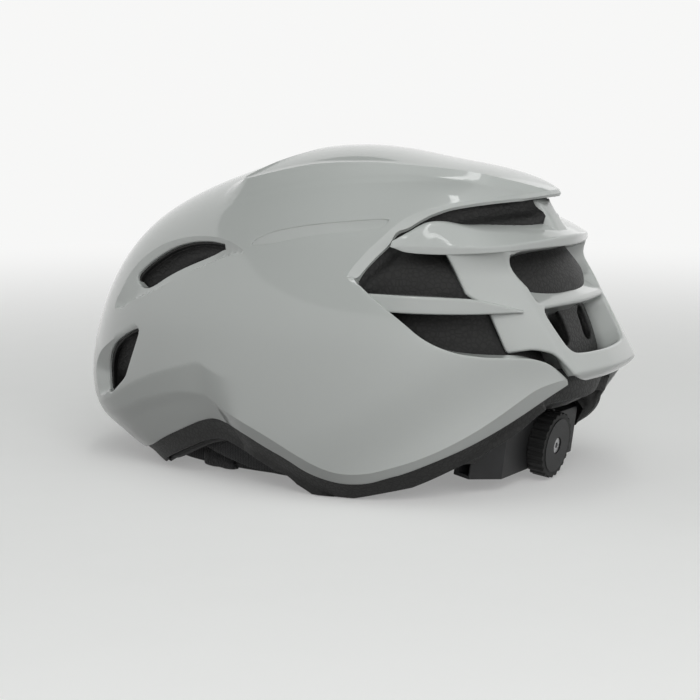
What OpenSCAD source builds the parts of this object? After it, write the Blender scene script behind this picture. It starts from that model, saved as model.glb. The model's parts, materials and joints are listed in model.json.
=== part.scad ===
// Aero road bicycle helmet: glossy shell, rear exhaust frame, foam liner,
// pads, straps and a nape cradle wound in by a dial.
// X points to the wearer's left, Y to the rear, Z up. The helmet stands on z = 0.

/* [Shell] */
// Length of the shell from brow to tail
shell_len = 281; // [265:1:300]
// Width over the ears
shell_w = 206; // [194:1:218]
// Height of the crown over the table
shell_h = 158; // [148:1:168]
// Thickness of the shell's skin
skin = 2.4; // [1.6:0.1:3.2]
// Depth of the walls that turn in at the vents
wall_depth = 9; // [6:0.5:12]
// Thickness of the walls that turn in at the vents
wall_t = 2.2; // [1.6:0.1:3]
// Height of the raised crown panel
crown_step = 2.8; // [1:0.1:3.6]
// Depth of the scoops round the side vents
scoop_depth = 2.5; // [1.5:0.1:3.5]
// Slope of the bevel above the shell's rim
bevel_slope = 0.5; // [0.3:0.05:0.7]
// How far the bevel comes in at most
bevel_depth = 8; // [5:0.5:10]
// Gap between fitted pieces
gap = 0.3; // [0.2:0.05:0.5]

/* [Rear frame] */
// Thickness of the rear frame's panels
frame_t = 2.6; // [2:0.1:3.4]
// Depth of the walls inside the rear openings
frame_depth = 10; // [7:0.5:13]
// Height of the bar across the middle of the rear
bar_h = 10; // [7:0.5:12]
// Height of the blades at the sides
blade_h = 8; // [5:0.5:10]
// Thickness of the upper lip
lip_t = 3; // [2.4:0.1:4]
// Width of the rib that carries the upper lip
rib_w = 12; // [8:0.5:16]

/* [Liner] */
// Thickness of the foam and the shell together at the crown
foam_t = 28; // [24:0.5:32]
// Half the width of the head cavity
cavity_half_w = 80; // [76:0.5:84]
// Thickness of the foam behind the rear frame
foam_rear_t = 14; // [10:0.5:18]
// Width of the air channels
channel_w = 12; // [8:0.5:16]

/* [Pads] */
// Thickness of a pad at its middle
pad_t = 6; // [4:0.25:8]
// Thickness of a pad at its edge
pad_edge_t = 1.6; // [1:0.1:2.5]

/* [Straps] */
// Width of the webbing
web_w = 15; // [12:0.5:18]
// Thickness of the webbing
web_t = 1.5; // [1:0.1:2]
// Radius of the plugs that hold the webbing
anchor_r = 7; // [6:0.25:9]
// Height of the buckle
buckle_h = 18; // [16.5:0.5:18]
// Length of the buckle's socket
buckle_len = 30; // [26:0.5:34]

/* [Cradle] */
// Distance of the dial's axis above the table
dial_z = 17.5; // [17.25:0.25:19]
// Radius of the dial over its grip
dial_r = 16; // [15:0.25:16.25]
// Thickness of the dial
dial_t = 9; // [7:0.25:11]
// Backward lean of the dial in degrees
dial_lean = 8; // [4:0.5:12]
// Half the length of the straight part of the housing
case_half_len = 40; // [39:0.5:44]
// Wall of the housing
case_wall = 1.6; // [1.2:0.1:2]
// Height of the bands
band_h = 10; // [8:0.25:11]
// Thickness of the bands
band_t = 1.5; // [1:0.1:2]
// Radius of the temple pins
pin_r = 3; // [2.5:0.1:3.5]
// Running clearance of the pins and shafts
run = 0.05; // [0.03:0.01:0.09]
// Width of the height arm
arm_w = 22; // [16:0.5:26]

/* [Gear] */
// Size of the teeth: pitch diameter over tooth count
tooth = 1; // [0.9:0.05:1.1]
// Thickness of the pinion and racks
gear_t = 4.6; // [4:0.1:5]
// Play between the teeth
play = 0.12; // [0.1:0.01:0.2]

/* [Hidden] */
$fn = 48;

// How far joined solids lie inside each other
lap = 0.3;
// How far the cavity's flat faces lie inside its true curve, over the crown and at its sides
facet_sag = 1.3;
side_sag = 0.55;
// The outlines below are drawn for a helmet of these sizes and stretched from them
drawn = [206, 281, 158];
stretch = [shell_w / drawn.x, shell_len / drawn.y, shell_h / drawn.z];
// The drawing's brow lies further from x = y = 0 than its tail
middle_y = 2.8 * stretch.y;
// The dome is drawn about a cross axis through this point, in y and z
dome_c = [5, -10];
dome_rows = 26;
dome_cols = 20;
// Columns of the shell's dome from its middle to the bevel's crease, and where the others lie below it
crease_cols = 7;
below_crease = [0.15, 0.35, 0.65, 1];
// Heights between which the shell sinks to the level round the crown panel
crown_fade = [70, 110];
// Radii of the dome every 15 degrees, from the brow over the crown to the nape
dome_r = [99, 150, 165.5, 171, 169, 168, 168, 168, 177, 182, 152, 147, 145];
// Half widths and roundness of the dome every 30 degrees
dome_w = [98, 101, 104, 104, 104, 103, 103];
dome_p = [2.3, 2.3, 2.35, 2.35, 2.3, 2.1, 2.1];
// The same for the head cavity, whose crown follows the foam's thickness
head_crown = 168 - foam_t;
head_r = [110, 117, 133, head_crown - 1, head_crown, head_crown, head_crown,
  head_crown - 1, head_crown - 3, 132, 122, 110, 104];
head_w = [for (i = [0:6]) cavity_half_w];
head_p = [for (i = [0:6]) 2.3];
// How far the foam lies behind the notch: head radii grown by the foam
rear_foam_r = [for (r = head_r) r + foam_rear_t];
rear_foam_w = [for (w = head_w) w + foam_rear_t];

// How far pieces beside the head move when the cavity gets wider than it is drawn
drawn_half_w = 80;
cavity_shift = cavity_half_w - drawn_half_w;
function beside(points) = [for (p = points) [p.x + cavity_shift, p.y, p.z]];
function mix(a, b, t) = a + (b - a) * t;
function clamp(v, lo, hi) = max(lo, min(hi, v));
// Smooth curve through evenly spaced values
function at(list, s) =
  let (n = len(list) - 1, i = clamp(floor(s), 0, n - 1), t = s - i,
    p1 = list[i], p2 = list[i + 1],
    p0 = i > 0 ? list[i - 1] : 2 * p1 - p2,
    p3 = i < n - 1 ? list[i + 2] : 2 * p2 - p1)
  p1 + t * (p2 - p0 + t * (2 * p0 - 5 * p1 + 4 * p2 - p3 + t * (3 * (p1 - p2) + p3 - p0))) / 2;
// Distance of a dome from its centre at angle a over the crown and g to the side
function dome_dist(dome, a, g) =
  let (r = at(dome[0], a / 15), w = at(dome[1], a / 30), p = at(dome[2], a / 30))
  pow(pow(abs(sin(g)) / w, p) + pow(cos(g) / r, p), -1 / p);
function on_dome(dist, a, g) =
  [dist * sin(g), dome_c[0] - dist * cos(g) * cos(a), dome_c[1] + dist * cos(g) * sin(a)];
// How far the shell lies inside its plain dome: bevel below the crease, step round the crown panel
function relief(dome, p) = len(dome) < 4 ? 0 :
  let (t = clamp((p.z - crown_fade[0]) / (crown_fade[1] - crown_fade[0]), 0, 1))
  clamp(bevel_slope * (lookup(p.y, dome[3]) - p.z), 0, bevel_depth)
    + crown_step * t * t * (3 - 2 * t);
// Point of a dome at angle a over the crown and g to the side, moved in by depth
function dome_point(dome, a, g, depth = 0) = let (dist = dome_dist(dome, a, g))
  on_dome(dist - depth - relief(dome, on_dome(dist, a, g)), a, g);
// Angle g at which row a of the dome meets the bevel's crease
function crease_g(dome, a, low = 44, high = 86, n = 12) = let (g = (low + high) / 2,
    p = on_dome(dome_dist(dome, a, g), a, g), under = p.z < lookup(p.y, dome[3]))
  n == 0 ? g : crease_g(dome, a, under ? low : g, under ? g : high, n - 1);
// Angles of a row's columns, from one end of the cross axis to the other
function columns(dome, a) = len(dome) < 4 ? [for (j = [0:dome_cols]) j * 180 / dome_cols - 90] :
  let (c = crease_g(dome, a), half = concat([for (k = [1:crease_cols]) c * k / crease_cols],
    [for (t = below_crease) mix(c, 90, t)]))
  concat([for (g = flip(half)) -g], [0], half);
// Height of the shell's plain dome at a place seen from above
function dome_z(x, y) = let (a = 90 + (y - dome_c[0]) * 0.34, p = at(dome_p, a / 30),
    dist = at(dome_r, a / 15) * pow(1 - pow(abs(x) / at(dome_w, a / 30), p), 1 / p))
  dome_c[1] + sqrt(max(dist * dist - pow(y - dome_c[0], 2), 0));
// Half width of a dome at a place seen from the side
function dome_x(dome, y, z) =
  let (dy = y - dome_c[0], dz = z - dome_c[1], a = atan2(dz, -dy), p = at(dome[2], a / 30))
  at(dome[1], a / 30) * pow(max(1 - pow(norm([dy, dz]) / at(dome[0], a / 15), p), 0.001), 1 / p);

// Crease over the bevel in y and z, from the brow to the tail
crease = [[-130, 26], [-110, 29], [-87, 29], [-70, 37], [-58, 43], [-45, 46], [-33, 45], [-23, 42],
  [-8, 36], [19, 24], [44, 14.5], [51, 14], [60, 16], [88, 28], [100, 36], [118, 50], [134, 60],
  [150, 72]];
SHELL = [dome_r, dome_w, dome_p, crease];
PLAIN = [dome_r, dome_w, dome_p];
HEAD = [head_r, head_w, head_p];
REAR_FOAM = [rear_foam_r, rear_foam_w, head_p];

// Lower edge of the shell in y and z, from the brow to the tail
rim = [[-116, 30], [-108, 24], [-95, 16], [-87, 12], [-79, 10], [-66, 13], [-58, 18], [-50, 22],
  [-41, 26], [-32, 30], [-26, 32], [-20, 33], [-12, 31], [-2, 27], [9, 22], [20, 18], [31, 12],
  [41, 9], [50, 8], [60, 9], [68, 12], [75, 14], [88, 20], [100, 26], [111, 33], [120, 40],
  [126, 46], [132, 52]];
// Lower edge of the foam, flat where the helmet stands
foam_edge = [[-116, 22], [-108, 15], [-97, 6], [-90, 0], [-70, 0], [-58, 9], [-50, 14], [-41, 18],
  [-32, 22], [-20, 25], [-12, 23], [-2, 19], [9, 14], [20, 9], [31, 3], [36, 0], [64, 0], [75, 6],
  [88, 12], [100, 19], [111, 26], [120, 33], [126, 40], [132, 47]];
// V notch at the rear: upper edge to the lip, then back along the lower edge
notch_top = [[45, 102], [50, 110], [55, 116], [61, 123.5], [66, 128], [73, 131.5], [84, 134],
  [98, 136], [116, 137.5]];
notch_low = [[134, 53.5], [133, 60], [129, 65], [122, 67], [113, 68], [99, 72], [81, 80],
  [70, 86], [57, 94]];
notch_back = 175;
// Level of the lower edges in front and behind, and a length beyond the helmet's reach
brow_rise = 8;
tail_z = 52;
far = 200;
// Side vents, outlines in y and z
brow_vent = [[-89, 93], [-80, 101], [-69, 108], [-57, 112], [-45, 114.5], [-33, 114], [-27, 112],
  [-36, 107], [-54, 99.5], [-68, 91], [-80, 88]];
low_vent = [[-101, 49], [-99, 58], [-92, 64], [-80, 69], [-76, 68], [-80, 57], [-83, 46],
  [-91, 42], [-98, 38]];
// Scoops round the side vents
brow_scoop = [[-100, 81], [-100, 88], [-96, 95], [-86, 102], [-65, 111], [-46, 117], [-30, 116.5],
  [-20, 112], [-36, 107], [-54, 99.5], [-68, 91], [-80, 86], [-90, 82]];
low_scoop = [[-110, 34], [-115, 43], [-113, 54], [-101, 61], [-89, 67], [-79, 71.5], [-75, 70],
  [-80, 57], [-83, 46], [-91, 42], [-98, 38], [-104, 34]];
// Centre vent at the forehead, in x and z
centre_vent = [[-17, 84], [-21, 92], [-12, 99], [12, 99], [21, 92], [17, 84]];
// Raised crown panel, in x and y
crown_panel = [[0, -8], [20, -14], [36, -28], [46, -42], [46, -26], [44, -13], [41, 2], [38, 17],
  [33, 30], [27, 48], [22, 67], [18, 86], [9, 102], [0, 116]];

// The rear frame's side panels lean: front edge, ridge and middle at two heights
frame_low = [[49, 109, 58], [36, 132, 58], [0, 138, 58]];
frame_high = [[60, 80, 112], [41, 101, 112], [0, 106.5, 112]];
frame_bottom = 53;
opening_top = 110;
bar_z = 91;
opening_low = 67;
// Upper lip of the rear frame: trailing edge and front edge
lip_edge = [[79, 47, 107], [70, 66, 110], [61, 82, 112.5], [51, 96, 113.5], [42, 107, 113.5],
  [21, 111, 114.5], [0, 112, 115.5]];
lip_front = [[64, 61, 124], [57, 70, 122.5], [49, 78, 121.5], [41, 83, 121], [31, 88, 121.5],
  [16, 92, 123], [0, 94, 124]];
// Side blade seen from above
blade = [[86, 50], [86, 62], [66, 88], [45, 108.5], [38, 108], [30, 84], [50, 50]];

// Temple pins and cradle
hinge = [-45 * stretch.y, 45 * stretch.z];
pin_x = 62.2 * stretch.x + cavity_shift;
// Wall of the bush round a temple pin, play between it and the link, and the pin's head
bush_wall = 3.5;
side_play = 0.15;
pin_head = [2, 1.8];
link_t = 2.4;
link_len = 18;
link_fall = 78;
socket_len = 11;
case_y = 101 * stretch.y;
nape_pad_t = 4;
nape_pad_size = [24, 17];
nape_pad_x = 14;
relief_top = dial_z + dial_r + 12;
case_depth = 10;
arm_t = 1.6;
arm_in = norm([case_y - 2.5, dial_z + 12] - hinge) - arm_t;
arm_high = 8;
guide_low = 1.5;
guide_high = 14;
teeth = 12;
pitch_r = tooth * teeth / 2;
root_depth = 1.25 * tooth;
slant = 25;
rack_back = 2.4;
clamp_len = 5;
rack_inner = -14;
rack_outer = 32;
cavity_half_h = pitch_r + root_depth + rack_back + 0.5;
case_half_h = cavity_half_h + case_wall;
arm_low = asin((hinge[1] - dial_z - case_half_h - 1.3) / (arm_in + arm_t));
mouth = [54, -14];
hub_r = 4;
screw_r = 2;
// Click spring: its circle on the dial, thickness, foot and bump, and the dents that it drops in
click_r = 9.5;
click_step = 15;
spring_t = 0.8;
foot_r = 2;
bump_r = 0.7;
dent_r = 0.9;
// Head of the dial's screw
screw_head_r = 3.6;
screw_head_t = 1.8;

// Clip under the ear: its ends, its middle, and how far the two webbings lie from that
clip_y = [16, 36];
clip_x = 70.1 + cavity_shift;
clip_side = 2.2;
plug_depth = 3;
// Strap routes on the left side, in the middle of the webbing
front_route = concat(beside([[64.5, -60, 25], [69.5, -42, 18], [71.5, -18, 12], [72.3, 4, 10.5]]),
  [[clip_x + clip_side, clip_y[0], 10.5]]);
rear_route = concat(beside([[61.5, 71, 45], [65.8, 61, 34], [70, 50, 23], [71.8, 41, 14]]),
  [[clip_x + clip_side, clip_y[1], 10.5]]);
chin_route = concat([[clip_x - clip_side, clip_y[0], 10.5]],
  beside([[66, 0, 9.5], [63, -30, 9.5], [56, -58, 9.5]]), [[45, -80, 9.5]]);
buckle_y = -93;
buckle_z = 9.5;
buckle_t = 7;
buckle_wall = 2;
prong_block = 14;
prong_t = 2.5;

function full(p) = [p.x * stretch.x, p.y * stretch.y, p.z * stretch.z];
function across(list) = [for (p = list) [p.x * stretch.x, p.y * stretch.y]];
function side(list) = [for (p = list) [p[0] * stretch.y, p[1] * stretch.z]];
function flip(list) = [for (i = [len(list) - 1:-1:0]) list[i]];
function both(list) = concat(list, [for (p = flip(list)) [-p.x, p.y]]);

// Every piece is drawn in the drawing's frame and moved so that the origin is in the middle
module placed() translate([0, middle_y, 0]) children();
module mirrored() {
  children();
  mirror([1, 0, 0]) children();
}
// Solid dome down to the plane of its cross axis
module dome_solid(dome, depth = 0) {
  rows = [for (i = [0:dome_rows]) columns(dome, i * 180 / dome_rows)];
  n = len(rows[0]) - 2;
  left = (dome_rows + 1) * n;
  right = left + 1;
  points = concat(
    [for (i = [0:dome_rows], j = [1:n])
      full(dome_point(dome, i * 180 / dome_rows, rows[i][j], depth))],
    [for (g = [-90, 90]) full(dome_point(dome, 90, g, depth))]);
  skin_faces = [for (i = [0:dome_rows - 1], j = [0:n - 2], k = [0, 1])
    let (a = i * n + j, b = a + n, c = b + 1, d = a + 1)
    k == 0 ? [a, b, c] : [a, c, d]];
  ends = [for (i = [0:dome_rows - 1], k = [0, 1])
    k == 0 ? [left, (i + 1) * n, i * n] : [i * n + n - 1, (i + 1) * n + n - 1, right]];
  base = concat([for (j = [0:n - 1]) j], [right],
    [for (j = [n - 1:-1:0]) dome_rows * n + j], [left]);
  polyhedron(points, concat(skin_faces, ends, [base]), convexity = 6);
}
// Outline in y and z, drawn out along x
module side_prism(list, x0 = -150, x1 = 150, grow = 0)
  translate([x0, 0, 0]) rotate([90, 0, 90]) linear_extrude(x1 - x0)
    offset(delta = grow) polygon(side(list));
// Outline in x and z, drawn out along y
module rear_prism(list, y0, y1, grow = 0)
  translate([0, y1, 0]) rotate([90, 0, 0]) linear_extrude(y1 - y0)
    offset(delta = grow) polygon([for (p = list) [p[0] * stretch.x, p[1] * stretch.z]]);
// Everything below a lower edge, which rises by brow_rise at the forehead and runs level behind
module below(edge) side_prism(concat([[-far, edge[0][1] + brow_rise], [-150, edge[0][1] + brow_rise]],
  edge, [[far, tail_z], [far, -far], [-far, -far]]));
module notch(grow = 0)
  side_prism(concat(notch_top, [[notch_back, 139], [notch_back, 40], [145, 40]], notch_low),
    grow = grow);
module side_vents(grow = 0) mirrored() {
  side_prism(brow_vent, x0 = 15, grow = grow);
  side_prism(low_vent, x0 = 15, grow = grow);
}
// Everything outside the floor of the scoops
module scoop_room(depth, grow = 0) difference() {
  mirrored() {
    side_prism(brow_scoop, x0 = 15, grow = grow);
    side_prism(low_scoop, x0 = 15, grow = grow);
  }
  dome_solid(SHELL, depth);
}
module front_vent(grow = 0) rear_prism(centre_vent, -170, -60, grow);
// Bead along a line on the dome
module bead(points, r) for (i = [1:len(points) - 1])
  hull() for (p = [points[i - 1], points[i]]) translate(full(p)) sphere(r, $fn = 6);

module crown_bead() bead([for (i = [3:12]) let (p = crown_panel[i])
  [p.x, p.y, dome_z(p.x, p.y) + 0.5 - crown_step]], skin / 3);
// Vent outlines and the notch, as solids to cut with
module outlines(grow = 0) {
  notch(grow);
  side_vents(grow);
  front_vent(grow);
}
module outer_shell() color([0.86, 0.87, 0.85]) placed() difference() {
  union() {
    difference() {
      dome_solid(SHELL);
      dome_solid(SHELL, skin);
      outlines();
    }
    // Raised crown panel and the bead along its edges
    intersection() {
      difference() {
        dome_solid(SHELL, -crown_step);
        dome_solid(SHELL, skin / 2);
        notch();
      }
      translate([0, 0, shell_h / 2]) linear_extrude(shell_h) polygon(across(both(crown_panel)));
    }
    mirrored() crown_bead();
    // Floor of the scoops
    difference() {
      dome_solid(SHELL, lap);
      dome_solid(SHELL, scoop_depth + skin);
      outlines();
      difference() {
        translate([-far, -far, 0]) cube(2 * far);
        mirrored() {
          side_prism(brow_scoop, x0 = 15, grow = skin);
          side_prism(low_scoop, x0 = 15, grow = skin);
        }
      }
    }
    // Walls that turn in at the vents and the notch
    intersection() {
      difference() {
        dome_solid(SHELL, lap);
        dome_solid(SHELL, wall_depth);
      }
      difference() {
        outlines(2 * lap);
        outlines(-wall_t);
      }
    }
  }
  scoop_room(scoop_depth);
  below(rim);
}

// Side panels and rear face of the frame as a solid, moved in by depth
function frame_ring(low, high, z, depth) =
  let (t = (z - low[0].z) / (high[0].z - low[0].z), e = mix(low[0], high[0], t),
    r = mix(low[1], high[1], t), m = mix(low[2], high[2], t),
    out = unit([r.y - e.y, e.x - r.x]), front = depth > 0 ? 30 : 0,
    half = concat([[e.x - depth, e.y - front], [e.x, e.y] - depth * out],
      [for (i = [0:4]) let (x = (r.x - depth * 0.8) * (1 - i / 4))
        [x, mix(m.y, r.y, pow(x / r.x, 1.6)) - depth]]))
  [for (p = concat(half, [for (i = [len(half) - 2:-1:0]) [-half[i].x, half[i].y]]))
    [p.x, p.y, z]];
function unit(v) = v / norm(v);
module frame_solid(depth = 0) {
  levels = [frame_bottom - (depth > 0 ? 5 : 0), 58, 67, 76, 85, 94, 103, 116];
  rings = [for (z = levels) [for (p = frame_ring(frame_low, frame_high, max(z, 58), depth))
    full([p.x * (z < 58 ? 0.95 : 1), p.y - (z < 58 ? 4 : 0), z])]];
  n = len(rings[0]);
  faces = concat([[for (i = [0:n - 1]) i]],
    [for (k = [0:len(levels) - 2], i = [0:n - 1], s = [0, 1])
      let (a = k * n + i, b = k * n + (i + 1) % n) s == 0 ? [a, b + n, b] : [a, a + n, b + n]],
    [[for (i = [n - 1:-1:0]) (len(levels) - 1) * n + i]]);
  polyhedron([for (r = rings, p = r) p], faces, convexity = 8);
}
upper_opening = [[-38, opening_top], [38, opening_top], [37, bar_z + bar_h / 2],
  [-37, bar_z + bar_h / 2]];
lower_opening = [[-35, bar_z - bar_h / 2], [35, bar_z - bar_h / 2], [33, 74], [28, opening_low],
  [-28, opening_low], [-33, 74]];
module rear_openings(grow = 0) {
  rear_prism(upper_opening, 60, 170, grow);
  rear_prism(lower_opening, 60, 170, grow);
}
module rear_shell() color([0.84, 0.85, 0.83]) placed() intersection() {
  notch(-wall_t - gap);
  dome_solid(PLAIN, -2);
  difference() {
    union() {
      // Side panels and rear face with the walls of its two openings
      difference() {
        frame_solid();
        frame_solid(frame_t);
        rear_openings();
      }
      intersection() {
        difference() {
          frame_solid(lap);
          frame_solid(frame_depth);
        }
        difference() {
          rear_openings(2 * lap);
          rear_openings(-frame_t);
        }
      }
      // Upper lip
      mirrored() for (i = [1:len(lip_edge) - 1]) hull()
        for (p = [lip_edge[i - 1], lip_edge[i], lip_front[i - 1], lip_front[i]], z = [0, lip_t])
          translate(full(p) - [0, 0, z]) cube(0.6, center = true);
      // Rib that carries the lip under the shell
      hull() for (s = [-1, 1]) {
        translate(full([s * rib_w / 2 - s, 92, 134])) cube(2, center = true);
        translate(full([s * rib_w / 2 - s, 102, 133])) cube(2, center = true);
        translate(full([s * rib_w / 2, 94, 119])) cube(2, center = true);
        translate(full([s * rib_w / 2, 110, 116])) cube(2, center = true);
      }
      // Side blades
      mirrored() intersection() {
        translate([0, 0, bar_z * stretch.z - blade_h / 2]) linear_extrude(blade_h)
          polygon(across(blade));
        dome_solid(SHELL, 1);
      }
    }
    dome_solid(REAR_FOAM, -gap);
    dome_underside();
  }
}
// Keeps the rear frame clear of the shell's lip
module dome_underside() intersection() {
  difference() {
    dome_solid(SHELL, -crown_step - 3);
    dome_solid(SHELL, wall_depth + gap);
  }
  side_prism(concat([for (p = notch_top) [p[0], p[1] - wall_t]], [[170, 137], [170, 170],
    [40, 170]]));
}

// Air channels along the inside of the foam
channel_routes = [[0, 92], [17, 86], [-17, 86]];
module channels() for (r = channel_routes, i = [0:7]) hull() for (a = [36 + i * 12, 48 + i * 12])
  translate(full(dome_point(HEAD, a, r[0] * 1.5, -1))) sphere(channel_w / 2, $fn = 8);
// Relief in the foam that the housing and the dial move in, seen from above
module cradle_room() translate([0, 0, -20]) linear_extrude(relief_top + 20)
  polygon(both([[0, case_y + dial_t + 3.6], [dial_r + 2, case_y + dial_t + 3.6],
    [dial_r + 2, case_y + 4], [case_half_len + 1.5, case_y + 3.5], [mouth.x + 5, case_y + mouth.y + 8],
    [mouth.x + 5, case_y - 30], [0, case_y - 30]]));
module rear_ducts() for (s = [-1, 1]) hull() for (z = [76, 102])
  translate(full([s * 20, 60, z])) rotate([-90, 0, 0]) cylinder(r = 8, h = 80, $fn = 16);
module eps_liner() color([0.07, 0.07, 0.075]) placed() difference() {
  union() {
    difference() {
      dome_solid(SHELL, skin + gap);
      notch(2 * lap + gap);
    }
    intersection() {
      dome_solid(REAR_FOAM);
      notch(8);
      side_prism([[60, 140], [140, 140], [140, 48], [30, 48], [30, 100]]);
      dome_solid(SHELL, wall_depth + 2 * gap);
    }
  }
  dome_solid(HEAD);
  scoop_room(scoop_depth + skin + gap, skin + gap);
  side_vents(2 * lap + gap);
  front_vent(2 * lap + gap);
  below(foam_edge);
  channels();
  rear_ducts();
  cradle_room();
  mirrored() {
    socket_room();
    anchor(front_route, gap);
    anchor(rear_route, gap);
  }
  guide_room();
}

// Pad on the head cavity: middle and half size as angles, sides drawn in between its corners
module pad(middle, half, sag = facet_sag, pull = 0.16) {
  nu = 10;
  nv = 8;
  function place(u, v, d) = dome_point(HEAD, middle[0] + half[0] * v * (1 - pull * (1 - u * u)),
    middle[1] + half[1] * u * (1 - pull * (1 - v * v)), d);
  function grid(top) = [for (i = [0:nu], j = [0:nv]) let (u = 2 * i / nu - 1, v = 2 * j / nv - 1)
    full(place(u, v, gap + sag + (top ? cushion_t(u, v, pad_t) : 0)))];
  quilt(grid(false), grid(true), nu, nv);
}
// Thickness of a cushion that is crowned in its middle, u and v from -1 to 1
function cushion_t(u, v, middle_t) =
  pad_edge_t + (middle_t - pad_edge_t) * (1 - pow(u, 4)) * (1 - pow(v, 4));
// Closed solid between two grids of points
module quilt(back, face, nu, nv) {
  m = (nu + 1) * (nv + 1);
  rows = nv + 1;
  sheet = [for (i = [0:nu - 1], j = [0:nv - 1], k = [0, 1])
    let (a = i * rows + j, b = a + 1, c = a + rows + 1, d = a + rows)
    k == 0 ? [a, b, c] : [a, c, d]];
  ring = concat([for (j = [0:nv - 1]) j], [for (i = [0:nu - 1]) i * rows + nv],
    [for (j = [nv:-1:1]) nu * rows + j], [for (i = [nu:-1:1]) i * rows]);
  count = len(ring);
  walls = [for (i = [0:count - 1], k = [0, 1]) let (a = ring[i], b = ring[(i + 1) % count])
    k == 0 ? [a, a + m, b + m] : [a, b + m, b]];
  polyhedron(concat(back, face),
    concat(sheet, [for (f = sheet) [f[2] + m, f[1] + m, f[0] + m]], walls), convexity = 6);
}
module foam_pad() color([0.1, 0.1, 0.11]) placed() children();
module brow_pad() foam_pad() pad([26, 0], [7, 38]);
module crown_pad_left() foam_pad() pad([103, 13], [23, 5]);
module crown_pad_right() foam_pad() mirror([1, 0, 0]) pad([103, 13], [23, 5]);
module crown_pad_centre() foam_pad() pad([68, 0], [9, 6]);
module side_pad_left() foam_pad() pad([95, 50], [17, 9], side_sag);
module side_pad_right() foam_pad() mirror([1, 0, 0]) pad([95, 50], [17, 9], side_sag);

// Strip on edge along a route, its thickness level and its height upright
module strip(route, height, thick) {
  n = len(route);
  function run_at(i) = let (d = route[min(i + 1, n - 1)] - route[max(i - 1, 0)])
    unit([d.x, d.y, 0]);
  points = [for (i = [0:n - 1], k = [0:3]) let (d = run_at(i), s = k < 2 ? 1 : -1,
      h = (k == 1 || k == 2) ? 1 : -1)
    route[i] + [-d.y, d.x, 0] * s * thick / 2 + [0, 0, h * height / 2]];
  faces = concat([[0, 1, 2, 3]],
    [for (i = [0:n - 2], k = [0:3], s = [0, 1])
      let (a = i * 4 + k, b = i * 4 + (k + 1) % 4) s == 0 ? [a, b + 4, b] : [a, a + 4, b + 4]],
    [[for (k = [3:-1:0]) (n - 1) * 4 + k]]);
  polyhedron(points, faces, convexity = 4);
}
function full_route(route) = [for (p = route) full(p)];
module webbing() color([0.05, 0.05, 0.055]) placed() children();
module front_strap_left() webbing() strip(full_route(front_route), web_w, web_t);
module front_strap_right() webbing() mirror([1, 0, 0]) strip(full_route(front_route), web_w, web_t);
module rear_strap_left() webbing() strip(full_route(rear_route), web_w, web_t);
module rear_strap_right() webbing() mirror([1, 0, 0]) strip(full_route(rear_route), web_w, web_t);
// Chin webbing down to the half of the buckle that ends at x = end
function chin_path(end) = concat(full_route(chin_route), [for (x = [9, gap])
  [end + x, buckle_y * stretch.y, buckle_z * stretch.z]]);
module chin_strap_left() webbing() strip(chin_path(buckle_len), web_w, web_t);
module chin_strap_right() webbing() mirror([1, 0, 0])
  strip(chin_path(prong_block + gap), web_w, web_t);

// Plug in the foam that the webbing is threaded through
module anchor(route, room = 0) {
  p = full(route[0]);
  along = unit([for (k = [0, 1]) full(route[1])[k] - p[k]]);
  reach = dome_x(HEAD, route[0].y, route[0].z) * stretch.x - p.x + plug_depth;
  translate(p) rotate([0, 0, atan2(-along.x * sign(along.y), abs(along.y))])
    translate([web_t / 2 + gap - room, 0, 0])
      rotate([0, 90, 0]) cylinder(r = anchor_r + room, h = reach + 2 * room);
}
module plug() color([0.06, 0.06, 0.06]) placed() children();
module front_anchor_left() plug() anchor(front_route);
module front_anchor_right() plug() mirror([1, 0, 0]) anchor(front_route);
module rear_anchor_left() plug() anchor(rear_route);
module rear_anchor_right() plug() mirror([1, 0, 0]) anchor(rear_route);

// Clip under the ear where the front, rear and chin webbing meet
module divider() {
  low = full(front_route[4]);
  high = full(rear_route[4]);
  translate([clip_x * stretch.x, (low.y + high.y) / 2, low.z]) difference() {
    cube([4 * clip_side, high.y - low.y - 2 * gap, web_w + 3], center = true);
    for (s = [-1, 1]) translate([s * clip_side * stretch.x, 0, 0])
      cube([web_t + 2 * gap, high.y, web_w - 4], center = true);
  }
}
module strap_divider_left() plug() divider();
module strap_divider_right() plug() mirror([1, 0, 0]) divider();

// Side-release buckle, lying across the front of the cavity
module at_buckle() placed() translate([0, buckle_y * stretch.y, buckle_z * stretch.z]) children();
module buckle_socket() color([0.05, 0.05, 0.05]) at_buckle() difference() {
  translate([buckle_len / 2, 0, 0]) cube([buckle_len, buckle_t, buckle_h], center = true);
  translate([buckle_len / 2 - 2 * buckle_wall, 0, 0])
    cube([buckle_len, buckle_t - 1.5 * buckle_wall, buckle_h - 2 * buckle_wall], center = true);
  // Windows for the finger and thumb
  for (z = [-1, 1]) translate([buckle_len * 0.43, 0, z * buckle_h / 2])
    cube([buckle_len * 0.3, buckle_t - 1.5 * buckle_wall, 2.5 * buckle_wall], center = true);
}
module buckle_prong() color([0.05, 0.05, 0.05]) at_buckle() {
  room = buckle_t - 1.5 * buckle_wall - 2 * gap;
  reach = buckle_len - 4 * buckle_wall - 3;
  translate([-prong_block / 2 - gap, 0, 0]) cube([prong_block, buckle_t, buckle_h], center = true);
  for (z = [-1, 0, 1]) translate([reach / 2 - 0.5, 0,
    z * (buckle_h / 2 - buckle_wall - gap - prong_t / 2)]) cube([reach + 1, room, prong_t], center = true);
}
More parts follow.
